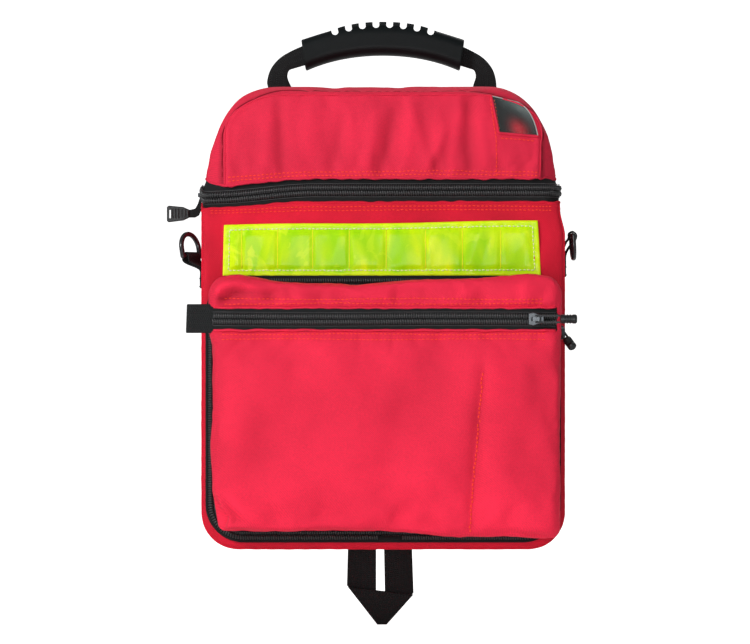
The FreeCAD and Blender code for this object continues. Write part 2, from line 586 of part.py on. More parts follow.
def grip_bar():
    """Arched bar with soft edges."""
    y = HANDLE_Y - GRIP_HD
    edges = [spline_edge(GRIP_TOP, y), spline_edge(GRIP_BOTTOM, y)]
    for i in (0, -1):
        (xt, zt), (xb, zb) = GRIP_TOP[i], GRIP_BOTTOM[i]
        edges.append(Part.makeLine(V(xt, y, zt), V(xb, y, zb)))
    bar = face_from_edges(edges).extrude(V(0, 2 * GRIP_HD, 0))
    bar = try_fillet(bar, [e for e in bar.Edges if e.Length > 100], 8.5)
    end_edges = [e for e in bar.Edges
                 if e.BoundBox.XLength < 12
                 and abs(abs(e.BoundBox.Center.x) - GRIP_HL + 2) < 4
                 and e.Length > 2]
    return try_fillet(bar, end_edges, 1.2)


def grip_crest():
    """Raised comb along the top of the grip."""
    y = HANDLE_Y - CREST_HD
    under = [CREST_TOP[-1]] + CREST_BOTTOM + [CREST_TOP[0]]
    bottom = Part.makePolygon([V(x, y, z) for x, z in under])
    face = face_from_edges([spline_edge(CREST_TOP, y)] + bottom.Edges)
    return face.extrude(V(0, 2 * CREST_HD, 0))


def handle_grip():
    grip = grip_bar().fuse(grip_crest())
    # round-bottomed notches that lean outwards with the arch
    for i in range(8):
        x = (i - 3.5) * NOTCH_PITCH
        crest_z = 463.4 - x * x * 0.0036
        notch = Part.makeCylinder(NOTCH_R, 40, V(0, -20, 0), V(0, 1, 0))
        notch = notch.fuse(box(-NOTCH_R, NOTCH_R, -20, 20, 0, 12))
        notch.rotate(V(0, 0, 0), V(0, 1, 0), x * 0.32)
        notch.translate(V(x, HANDLE_Y, crest_z - 2.6))
        grip = grip.cut(notch)
    return grip.cut(strap_arch(0.15))


save("handle_grip", handle_grip())


def handle_tail(x):
    """Webbing tail of the handle, sewn down the lid's back panel."""
    y = CASE_HD + GAP
    t = box(x - 12.5, x + 12.5, y, y + WEB_T, 330.0, FOOT_Z - 1.6)
    return try_fillet(t, edges_along(t, "y", 1), 1.5)


save("handle_anchors", Part.makeCompound([handle_tail(89.5), handle_tail(-89.5)]))

# ---------------------------------------------------------------- lower webbing loop
LOOP_TOP_Z = -1.6
LOOP_Y = CASE_HD + 0.4
LOOP_PLY = WEB_T * 0.8
LOOP_LEFT = (-31.0, -6.0)      # x range of each strap at its top
LOOP_RIGHT = (1.0, 26.0)
# (x, z) outlines
LEFT_STRAP = [(LOOP_LEFT[0], LOOP_TOP_Z), (LOOP_LEFT[1], LOOP_TOP_Z), (-7.6, -52.0),
              (-24.0, -52.0), (-32.2, -43.5)]
RIGHT_STRAP = [(LOOP_RIGHT[0], LOOP_TOP_Z), (LOOP_RIGHT[1], LOOP_TOP_Z), (27.8, -48.0),
               (24.0, -54.0), (2.6, -54.0)]
LOOP_VEE = [(-32.2, -43.5), (-27.5, -48.2), (-6.0, -51.6), (25.6, -52.2), (27.8, -48.8),
            (27.0, -52.6), (4.2, -76.0), (-4.4, -76.4)]

# the straps lie on the back of the V-shaped bottom ply
left_strap, right_strap = [poly_xz(outline, LOOP_Y + LOOP_PLY, LOOP_Y + 2 * LOOP_PLY)
                           for outline in (LEFT_STRAP, RIGHT_STRAP)]
vee = poly_xz(LOOP_VEE, LOOP_Y, LOOP_Y + LOOP_PLY)
save("lower_webbing_loop", left_strap.fuse(right_strap).fuse(vee))

# strap ends sewn up the case's back panel, and the patch over them
save("loop_anchor", Part.makeCompound([
    box(x0, x1, CASE_HD + GAP, CASE_HD + GAP + WEB_T, 0.4, 42.0)
    for x0, x1 in (LOOP_LEFT, LOOP_RIGHT)]))
patch = box(-34.5, 29.5, CASE_HD + 0.2 + WEB_T, CASE_HD + 1.4 + WEB_T, 6.0, 38.0)
save("loop_anchor_patch", try_fillet(patch, edges_along(patch, "y", 0.8), 4.0))
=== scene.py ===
"""Looks of the soft responder case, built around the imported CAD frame.
Units in the mesh code are millimetres; mesh_obj() turns them into metres."""
import json
import math

import bpy
import numpy as np
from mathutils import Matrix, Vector
from mathutils.bvhtree import BVHTree

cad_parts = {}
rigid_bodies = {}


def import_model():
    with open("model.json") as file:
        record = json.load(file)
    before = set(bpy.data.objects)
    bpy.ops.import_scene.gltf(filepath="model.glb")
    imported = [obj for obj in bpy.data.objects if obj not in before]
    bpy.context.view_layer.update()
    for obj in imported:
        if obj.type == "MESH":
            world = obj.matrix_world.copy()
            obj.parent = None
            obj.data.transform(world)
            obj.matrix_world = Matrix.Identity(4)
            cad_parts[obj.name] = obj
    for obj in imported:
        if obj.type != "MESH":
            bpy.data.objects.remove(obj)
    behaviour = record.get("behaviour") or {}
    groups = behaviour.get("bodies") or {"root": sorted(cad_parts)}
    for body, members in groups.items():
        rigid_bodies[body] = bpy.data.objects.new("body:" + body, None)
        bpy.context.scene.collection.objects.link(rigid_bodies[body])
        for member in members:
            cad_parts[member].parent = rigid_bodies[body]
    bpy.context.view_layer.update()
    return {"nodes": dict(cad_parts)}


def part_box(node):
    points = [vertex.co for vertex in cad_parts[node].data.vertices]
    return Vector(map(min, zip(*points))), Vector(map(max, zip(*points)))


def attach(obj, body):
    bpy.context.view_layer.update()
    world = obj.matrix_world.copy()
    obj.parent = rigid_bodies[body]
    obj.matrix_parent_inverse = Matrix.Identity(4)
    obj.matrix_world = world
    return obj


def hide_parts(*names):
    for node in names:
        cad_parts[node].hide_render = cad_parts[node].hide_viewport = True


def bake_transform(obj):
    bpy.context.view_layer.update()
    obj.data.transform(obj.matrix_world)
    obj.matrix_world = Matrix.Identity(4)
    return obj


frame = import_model()
NODES = frame["nodes"]
scene = bpy.context.scene


# ------------------------------------------------------------------ mesh helpers
def mesh_obj(name, v, quads, mat, smooth=True, uv=None):
    """v (n,3) in mm, quads (m,4) indices, uv (n,2) per vertex."""
    v = np.asarray(v, float) * 0.001
    q = np.asarray(quads, np.int32)
    me = bpy.data.meshes.new(name)
    me.vertices.add(len(v))
    me.vertices.foreach_set("co", v.astype(np.float32).ravel())
    me.loops.add(q.size)
    me.loops.foreach_set("vertex_index", q.ravel())
    me.polygons.add(len(q))
    me.polygons.foreach_set("loop_start", np.arange(0, q.size, 4, dtype=np.int32))
    me.polygons.foreach_set("loop_total", np.full(len(q), 4, np.int32))
    me.update(calc_edges=True)
    me.validate()
    if uv is not None:
        lay = me.uv_layers.new(name="UVMap")
        idx = np.zeros(len(me.loops), np.int32)
        me.loops.foreach_get("vertex_index", idx)
        lay.data.foreach_set("uv", np.asarray(uv, np.float32)[idx].ravel())
    if smooth:
        me.polygons.foreach_set("use_smooth", np.ones(len(me.polygons), bool))
    o = bpy.data.objects.new(name, me)
    scene.collection.objects.link(o)
    me.materials.append(mat)
    return o


def coords(o):
    a = np.zeros(len(o.data.vertices) * 3, np.float32)
    o.data.vertices.foreach_get("co", a)
    return a.reshape(-1, 3).astype(float) * 1000.0


def set_coords(o, v):
    o.data.vertices.foreach_set("co", (np.asarray(v) * 0.001).astype(np.float32).ravel())
    o.data.update()


def normals(o):
    a = np.zeros(len(o.data.vertices) * 3, np.float32)
    o.data.vertices.foreach_get("normal", a)
    return a.reshape(-1, 3).astype(float)


def painted_light_and_shade(o, val):
    """Painted shade and light per vertex, which the fabric material multiplies into its colour: painted shade in
    creases, painted highlight on ridges.
    """
    o.data.attributes.new("painted_light_and_shade", "FLOAT", "POINT").data.foreach_set("value", np.asarray(val, np.float32))


def thick(o, t, offset=-1.0):
    m = o.modifiers.new("thick", "SOLIDIFY")
    m.thickness = t * 0.001
    m.offset = offset
    m.use_even_offset = False
    return o


def subdivide(o, levels=1):
    m = o.modifiers.new("sub", "SUBSURF")
    m.levels = levels
    m.render_levels = levels
    return o


def grid_quads(nu, nv, wrap_u=False):
    """Quads of a (nu, nv) vertex grid, index = i*nv + j."""
    i = np.arange(nu if wrap_u else nu - 1)
    j = np.arange(nv - 1)
    ii, jj = np.meshgrid(i, j, indexing="ij")
    i2 = (ii + 1) % nu
    return np.stack([ii * nv + jj, i2 * nv + jj, i2 * nv + jj + 1, ii * nv + jj + 1], -1).reshape(-1, 4)


def grid_obj(name, p, mat, uv=None, flip=False, smooth=True):
    """p (nu, nv, 3) in mm."""
    nu, nv = p.shape[:2]
    q = grid_quads(nu, nv)
    if flip:
        q = q[:, ::-1]
    return mesh_obj(name, p.reshape(-1, 3), q, mat, smooth=smooth, uv=None if uv is None else uv.reshape(-1, 2))


class Bits:
    """Collects many small swept bits into one mesh."""

    def __init__(self):
        self.v, self.q, self.n = [], [], 0

    def sweep(self, c, r, a, b, sides=6):
        """c (m,k,3) centres, r (m,k) radii, a and b (m,k,3) section axes."""
        m, k = r.shape
        th = np.arange(sides) * 2 * np.pi / sides
        off = a[:, :, None, :] * np.cos(th)[None, None, :, None] + b[:, :, None, :] * np.sin(th)[None, None, :, None]
        p = c[:, :, None, :] + off * r[:, :, None, None]
        base = np.arange(m)[:, None, None] * k * sides
        i = np.arange(k - 1)[None, :, None] * sides
        s = np.arange(sides)[None, None, :]
        s2 = (s + 1) % sides
        q = np.stack([base + i + s, base + i + s2, base + i + sides + s2, base + i + sides + s], -1).reshape(-1, 4)
        caps = []
        for e, rev in ((0, True), ((k - 1) * sides, False)):
            for t in range(1, sides - 1, 2):
                f = [0, t, t + 1, min(t + 2, sides - 1)]
                if f[2] == f[3]:
                    continue
                f = f[::-1] if rev else f
                caps.append(base[:, 0, 0][:, None] + e + np.array(f)[None, :])
        q = np.concatenate([q] + caps, 0)
        self.v.append(p.reshape(-1, 3))
        self.q.append(q + self.n)
        self.n += m * k * sides

    def add(self, v, q):
        self.v.append(np.asarray(v, float).reshape(-1, 3))
        self.q.append(np.asarray(q) + self.n)
        self.n += len(self.v[-1])

    def make(self, name, mat):
        return mesh_obj(name, np.concatenate(self.v), np.concatenate(self.q), mat)


def unit(a):
    return a / np.maximum(np.linalg.norm(a, axis=-1, keepdims=True), 1e-9)


def resample(p, step, closed=False):
    """Points every step along a polyline, and their tangents."""
    p = np.asarray(p, float)
    if closed:
        p = np.vstack([p, p[:1]])
    d = np.linalg.norm(np.diff(p, axis=0), axis=1)
    s = np.concatenate([[0], np.cumsum(d)])
    n = max(2, int(round(s[-1] / step)))
    t = (np.arange(n) + 0.5) * s[-1] / n
    q = np.stack([np.interp(t, s, p[:, i]) for i in range(3)], -1)
    e = 0.4
    q1 = np.stack([np.interp(np.clip(t + e, 0, s[-1]), s, p[:, i]) for i in range(3)], -1)
    q0 = np.stack([np.interp(np.clip(t - e, 0, s[-1]), s, p[:, i]) for i in range(3)], -1)
    return q, unit(q1 - q0)


def waves(p, wl, seed, n=7):
    """Smooth noise of about unit size: a few sine waves in fixed random directions."""
    r = np.random.default_rng(seed)
    d = unit(r.normal(size=(n, 3)))
    k = 2 * np.pi / (wl * r.uniform(0.7, 1.5, n))
    ph = r.uniform(0, 2 * np.pi, n)
    return np.sin((p @ d.T) * k + ph).sum(-1) / math.sqrt(n)


def fold(x, z, a, b, w, amp, soft=0.22):
    """Ridge or valley along the segment a-b in the XZ plane, fading at its ends."""
    a, b = np.array(a, float), np.array(b, float)
    d = b - a
    ln = np.hypot(*d)
    t = ((x - a[0]) * d[0] + (z - a[1]) * d[1]) / ln ** 2
    off = ((x - a[0]) * -d[1] + (z - a[1]) * d[0]) / ln
    end = 1 / (1 + np.exp(-(t) / (soft * 0.35))) * 1 / (1 + np.exp((t - 1) / (soft * 0.35)))
    ww = w * (1 + 0.35 * t)
    return amp * end * np.exp(-(off / ww) ** 2)


def smooth01(t):
    t = np.clip(t, 0, 1)
    return t * t * (3 - 2 * t)


def bx(*names):
    """Lowest and highest corner of CAD nodes at rest, in mm."""
    b = [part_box(n) for n in names]
    return np.min([list(lo) for lo, _ in b], 0) * 1000.0, np.max([list(hi) for _, hi in b], 0) * 1000.0


def spot(box, fx, fz):
    """X and Z of a place given as fractions of a box's width and height."""
    return (float(box[0][0] + fx * (box[1][0] - box[0][0])), float(box[0][2] + fz * (box[1][2] - box[0][2])))


# the frame's own measures
B_CASE, B_LID, B_POC = bx("case_gusset"), bx("lid_gusset"), bx("pocket_gusset")
B_STR, B_WIN, B_HND, B_LOOP = bx("reflective_strip"), bx("clear_window"), bx("handle_webbing"), bx("lower_webbing_loop")
CHW, CTOP = float(B_CASE[1][0]), float(B_CASE[1][2])
YF, YB = float(bx("case_front_panel")[0][1]), float(bx("case_back_panel")[1][1])
LHW, LBOT, LTOP = float(B_LID[1][0]), float(B_LID[0][2]), float(B_LID[1][2])
LFHW = float(bx("window_panel")[1][0]) - 3.67
PHW, PZ0, PZ1 = float(B_POC[1][0]), float(B_POC[0][2]), float(B_POC[1][2])
PYF, PYB = float(bx("pocket_front_panel")[0][1]), float(bx("pocket_back_panel")[1][1])
ZZ = float(bx("case_zip_coil")[1][2] + bx("lid_zip_coil")[0][2]) / 2
PZZ = float(bx("pocket_zip_coil_lower")[1][2] + bx("pocket_zip_coil_upper")[0][2]) / 2
B_RING = bx("front_zip_coil_pocket")
RHW, RZ0, RZ1, RY = float(B_RING[1][0]) + 0.35, float(B_RING[0][2]) - 0.35, float(B_RING[1][2]) + 0.35, float(bx("front_zip_tape_case")[0][1]) + 0.4


def tree(o):
    dg = bpy.context.evaluated_depsgraph_get()
    dg.update()
    e = o.evaluated_get(dg)
    me = e.to_mesh()
    v = np.zeros(len(me.vertices) * 3, np.float32)
    me.vertices.foreach_get("co", v)
    v = v.reshape(-1, 3)
    polys = [tuple(p.vertices) for p in me.polygons]
    t = BVHTree.FromPolygons([tuple(c) for c in v.tolist()], polys)
    e.to_mesh_clear()
    return t


def cast(t, pts, direction, back=0.2):
    """Projects mm points along direction onto the tree. Returns mm points and normals; misses keep their place."""
    d = Vector(direction).normalized()
    out, nrm = [], []
    for p in np.asarray(pts, float).reshape(-1, 3):
        o = Vector(p * 0.001) - d * back
        hit, n, _, _ = t.ray_cast(o, d)
        if hit is None:
            out.append(p)
            nrm.append(-np.array(d))
        else:
            if n.dot(d) > 0:
                n = -n
            out.append(np.array(hit) * 1000.0)
            nrm.append(np.array(n))
    return np.array(out), np.array(nrm)


def stitches(bits, path, nrm, closed=False, length=2.6, gap=1.0, r=0.42, lift=0.10, jitter=0.12, seed=1):
    """Thread stitches along a surface path. nrm is the surface normal at each path point."""
    path = np.asarray(path, float)
    nrm = np.asarray(nrm, float)
    if nrm.ndim == 1:
        nrm = np.repeat(nrm[None], len(path), 0)
    q, t = resample(path, length + gap, closed)
    # the normal follows the nearest path point
    near = np.argmin(((q[:, None, :] - path[None, ::max(1, len(path) // 400), :]) ** 2).sum(-1), 1)
    n = unit(nrm[::max(1, len(path) // 400)][near])
    rg = np.random.default_rng(seed)
    b = unit(np.cross(t, n))
    n = unit(np.cross(b, t))
    q = q + b * rg.normal(0, jitter, (len(q), 1))
    t = unit(t + b * rg.normal(0, 0.05, (len(q), 1)))
    ks = np.array([-0.5, -0.36, 0.0, 0.36, 0.5])
    rr = np.array([0.25, 0.85, 1.0, 0.85, 0.25]) * r
    hh = np.array([-0.55, 0.15, 0.55, 0.15, -0.55]) * r
    c = q[:, None, :] + t[:, None, :] * (ks * length)[None, :, None] + n[:, None, :] * (hh + lift)[None, :, None]
    a = np.repeat(b[:, None, :], 5, 1)
    bb = np.repeat(n[:, None, :], 5, 1)
    bits.sweep(c, np.repeat(rr[None], len(q), 0), a, bb, sides=6)


def tube(bits, path, r, sides=8, closed=False, flat=1.0, nrm=None):
    """Round bead along a path."""
    p = np.asarray(path, float)
    t = np.gradient(p, axis=0)
    if closed:
        t = np.roll(p, -1, 0) - np.roll(p, 1, 0)
    t = unit(t)
    ref = np.array([0, -1.0, 0.01]) if nrm is None else nrm
    ref = np.repeat(np.asarray(ref, float)[None], len(p), 0) if np.ndim(ref) == 1 else ref
    b = unit(np.cross(t, ref))
    n = unit(np.cross(b, t))
    if closed:
        p = np.vstack([p, p[:1]]); b = np.vstack([b, b[:1]]); n = np.vstack([n, n[:1]])
    rr = np.broadcast_to(np.asarray(r, float), (len(p),))
    bits.sweep(p[None], rr[None].astype(float), b[None], (n * flat)[None], sides=sides)


# ------------------------------------------------------------------ materials
def new_mat(name):
    m = bpy.data.materials.new(name)
    m.use_nodes = True
    nt = m.node_tree
    bsdf = nt.nodes.get("Principled BSDF")
    return m, nt, bsdf


def nd(nt, kind, **kw):
    n = nt.nodes.new(kind)
    for k, v in kw.items():
        if k in n.inputs:
            n.inputs[k].default_value = v
        else:
            setattr(n, k, v)
    return n


def math_node(nt, op, a, b=None, c=None):
    n = nt.nodes.new("ShaderNodeMath")
    n.operation = op
    for i, x in enumerate((a, b, c)):
        if x is None:
            continue
        if isinstance(x, (int, float)):
            n.inputs[i].default_value = x
        else:
            nt.links.new(x, n.inputs[i])
    return n.outputs[0]


def ramp(nt, fac, stops):
    n = nt.nodes.new("ShaderNodeValToRGB")
    el = n.color_ramp.elements
    while len(el) < len(stops):
        el.new(0.5)
    for e, (p, c) in zip(el, stops):
        e.position = p
        e.color = (*c, 1.0)
    nt.links.new(fac, n.inputs[0])
    return n.outputs[0]


def band(nt, coord, direction, period_mm, diag=False):
    w = nt.nodes.new("ShaderNodeTexWave")
    w.wave_type = "BANDS"
    w.bands_direction = direction
    w.inputs["Scale"].default_value = (0.62832 if direction == "DIAGONAL" else 0.31416) / (period_mm * 0.001)
    w.inputs["Distortion"].default_value = 0.0
    nt.links.new(coord, w.inputs["Vector"])
    return w.outputs["Fac"]


def fabric(name, col, dark=0.80, light=1.12, rough=0.74, sheen=0.05, twill=1.6, yarn=0.95, bump=0.85, spec=0.22, speck=0.24):
    m, nt, b = new_mat(name)
    L = nt.links
    tc = nt.nodes.new("ShaderNodeTexCoord")
    co = tc.outputs["Object"]
    big = nd(nt, "ShaderNodeTexNoise", Scale=14.0, Detail=3.0, Roughness=0.55); L.new(co, big.inputs["Vector"])
    fine = nd(nt, "ShaderNodeTexNoise", Scale=900.0, Detail=2.0, Roughness=0.6); L.new(co, fine.inputs["Vector"])
    tw = band(nt, co, "DIAGONAL", twill)
    zz = band(nt, co, "Z", yarn)
    weave = math_node(nt, "ADD", math_node(nt, "MULTIPLY", tw, 0.6), math_node(nt, "MULTIPLY", zz, 0.4))
    shade = math_node(nt, "ADD", math_node(nt, "MULTIPLY", weave, speck), math_node(nt, "MULTIPLY", fine.outputs["Fac"], speck * 2.2))
    shade = math_node(nt, "ADD", shade, math_node(nt, "MULTIPLY", math_node(nt, "SUBTRACT", big.outputs["Fac"], 0.22), 0.55))
    c = ramp(nt, shade, [(0.34, tuple(x * dark for x in col)), (0.74, tuple(min(1.0, x * light) for x in col))])
    # painted light and shade: the per-vertex attribute darkens or lightens the fabric colour
    at = nt.nodes.new("ShaderNodeAttribute"); at.attribute_name = "painted_light_and_shade"
    vm = nt.nodes.new("ShaderNodeVectorMath"); vm.operation = "SCALE"
    L.new(c, vm.inputs[0]); L.new(math_node(nt, "SUBTRACT", 1.0, at.outputs["Fac"]), vm.inputs["Scale"])
    L.new(vm.outputs[0], b.inputs["Base Color"])
    b.inputs["Roughness"].default_value = rough
    b.inputs["Specular IOR Level"].default_value = spec
    b.inputs["Sheen Weight"].default_value = sheen
    b.inputs["Sheen Roughness"].default_value = 0.45
    b.inputs["Sheen Tint"].default_value = (min(1, col[0] * 1.3 + 0.05), min(1, col[1] + 0.12), min(1, col[2] + 0.12), 1)
    h = math_node(nt, "ADD", math_node(nt, "MULTIPLY", weave, 0.8), math_node(nt, "MULTIPLY", fine.outputs["Fac"], 0.7))
    bp = nd(nt, "ShaderNodeBump", Strength=bump, Distance=0.00035)
    L.new(h, bp.inputs["Height"])
    L.new(bp.outputs["Normal"], b.inputs["Normal"])
    return m


def webbing(name, col, rib_mm=1.6, rough=0.62, bump=0.9, uvmode=False, lo=0.55, hi=2.2, sheen=0.02):
    """Ribbed webbing. With uvmode the ribs follow the piece's UV, in mm along u and across v."""
    m, nt, b = new_mat(name)
    L = nt.links
    tc = nt.nodes.new("ShaderNodeTexCoord")
    co = tc.outputs["UV"] if uvmode else tc.outputs["Object"]
    if uvmode:
        sp = nt.nodes.new("ShaderNodeSeparateXYZ"); L.new(co, sp.inputs[0])
        u, v = sp.outputs[0], sp.outputs[1]
        # chevron ribs: a zigzag of the across coordinate, repeated along the strap
        zig = math_node(nt, "PINGPONG", v, 3.1)
        ph = math_node(nt, "MULTIPLY", math_node(nt, "ADD", u, math_node(nt, "MULTIPLY", zig, 0.55)), 2 * math.pi / rib_mm)
        rib = math_node(nt, "MULTIPLY_ADD", math_node(nt, "SINE", ph), 0.5, 0.5)
        rows = math_node(nt, "MULTIPLY_ADD", math_node(nt, "SINE", math_node(nt, "MULTIPLY", v, 2 * math.pi / 1.55)), 0.5, 0.5)
    else:
        rib = band(nt, co, "Z", rib_mm)
        rows = band(nt, co, "DIAGONAL", 2.2)
    fine = nd(nt, "ShaderNodeTexNoise", Scale=1100.0, Detail=2.0, Roughness=0.6); L.new(tc.outputs["Object"], fine.inputs["Vector"])
    h = math_node(nt, "ADD", math_node(nt, "MULTIPLY", rib, 0.65), math_node(nt, "MULTIPLY", rows, 0.35))
    f = math_node(nt, "ADD", math_node(nt, "MULTIPLY", h, 0.7), math_node(nt, "MULTIPLY", fine.outputs["Fac"], 0.4))
    L.new(ramp(nt, f, [(0.2, tuple(x * lo for x in col)), (0.95, tuple(x * hi for x in col))]), b.inputs["Base Color"])
    b.inputs["Roughness"].default_value = rough
    b.inputs["Specular IOR Level"].default_value = 0.16
    b.inputs["Sheen Weight"].default_value = sheen
    bp = nd(nt, "ShaderNodeBump", Strength=bump, Distance=0.0006)
    L.new(math_node(nt, "ADD", h, math_node(nt, "MULTIPLY", fine.outputs["Fac"], 0.35)), bp.inputs["Height"])
    L.new(bp.outputs["Normal"], b.inputs["Normal"])
    return m


def plastic(name, col, rough=0.38, spec=0.5, coat=0.0, grain=0.25, grain_scale=700.0, metallic=0.0, edge_highlight=0.0, vary=0.25, bump_d=0.00012):
    m, nt, b = new_mat(name)
    L = nt.links
    tc = nt.nodes.new("ShaderNodeTexCoord")
    co = tc.outputs["Object"]
    nz = nd(nt, "ShaderNodeTexNoise", Scale=grain_scale, Detail=3.0, Roughness=0.6); L.new(co, nz.inputs["Vector"])
    big = nd(nt, "ShaderNodeTexNoise", Scale=30.0, Detail=3.0, Roughness=0.6); L.new(co, big.inputs["Vector"])
    f = math_node(nt, "ADD", math_node(nt, "MULTIPLY", nz.outputs["Fac"], 0.4), math_node(nt, "MULTIPLY", big.outputs["Fac"], 0.6))
    # painted highlight: sharp convex edges (high pointiness) get a lighter colour, as if catching the light
    if edge_highlight:
        g = nt.nodes.new("ShaderNodeNewGeometry")
        e = math_node(nt, "MULTIPLY", math_node(nt, "MAXIMUM", math_node(nt, "SUBTRACT", g.outputs["Pointiness"], 0.52), 0.0), edge_highlight)
        f = math_node(nt, "ADD", f, e)
    L.new(ramp(nt, f, [(0.3, tuple(x * (1 - vary) for x in col)), (0.75, tuple(min(1, x * (1 + vary)) for x in col)), (1.0, tuple(min(1, x * 2.2 + 0.01) for x in col))]), b.inputs["Base Color"])
    b.inputs["Metallic"].default_value = metallic
    b.inputs["Specular IOR Level"].default_value = spec
    b.inputs["Coat Weight"].default_value = coat
    b.inputs["Coat Roughness"].default_value = 0.15
    L.new(math_node(nt, "MULTIPLY_ADD", big.outputs["Fac"], 0.16, rough - 0.08), b.inputs["Roughness"])
    bp = nd(nt, "ShaderNodeBump", Strength=grain, Distance=bump_d)
    L.new(nz.outputs["Fac"], bp.inputs["Height"])
    L.new(bp.outputs["Normal"], b.inputs["Normal"])
    return m


# one red fabric in three copies: the case's is darker and the pocket's lighter than the lid's, as painted shade and
# painted light
RED_LID = (0.72, 0.019, 0.058)
M_LID = fabric("red_lid", RED_LID)
# painted shadow: dark red colour for the thin tube laid in the lid's front seam, standing for the seam's shade
M_SEAM_SHADOW = plastic("seam_shadow_line", (0.20, 0.003, 0.012), rough=0.8, spec=0.1)
M_CASE = fabric("red_case", (0.68, 0.007, 0.031))
M_POCKET = fabric("red_pocket", (0.81, 0.019, 0.060), twill=1.9)
M_LINING = fabric("grey_lining", (0.085, 0.087, 0.095), twill=0.9, bump=0.35, sheen=0.1, light=1.25)
M_THREAD = plastic("thread_orange", (0.97, 0.066, 0.030), rough=0.6, spec=0.15, vary=0.12, grain=0.3, grain_scale=1500)
M_THREAD_W = plastic("thread_white", (0.86, 0.95, 0.50), rough=0.55, grain=0.2, grain_scale=1500)
M_THREAD_K = plastic("thread_black", (0.05, 0.05, 0.053), rough=0.55, grain=0.3, grain_scale=1500)
M_TAPE = webbing("zip_tape", (0.0085, 0.0095, 0.010), rib_mm=0.95, bump=0.45, rough=0.75, hi=1.9)
M_COIL = plastic("zip_coil", (0.026, 0.026, 0.027), rough=0.34, spec=0.5, grain=0.1)
M_COIL2 = plastic("zip_coil_lit", (0.032, 0.033, 0.034), rough=0.36, spec=0.5, grain=0.1)
M_WEB = webbing("black_webbing", (0.0092, 0.0102, 0.0106), rib_mm=1.7, uvmode=True)
M_WEBZ = webbing("black_webbing_up", (0.0092, 0.0102, 0.0106), rib_mm=1.7)
M_GRIP = plastic("grip_rubber", (0.0028, 0.0048, 0.0054), rough=0.50, spec=0.17, grain=0.35, grain_scale=420, edge_highlight=1.2)
M_PULL = plastic("pull_plastic", (0.010, 0.012, 0.013), rough=0.36, spec=0.4, grain=0.2, edge_highlight=1.0)
M_CORD = webbing("pull_cord", (0.035, 0.036, 0.038), rib_mm=0.8, bump=0.5)
M_SLIDER = plastic("slider_metal", (0.075, 0.082, 0.090), rough=0.30, spec=0.6, metallic=0.8, grain=0.15, edge_highlight=2.0)
M_RING = plastic("ring_metal", (0.018, 0.019, 0.021), rough=0.24, spec=0.6, metallic=0.3, coat=0.4, grain=0.08, edge_highlight=1.2)


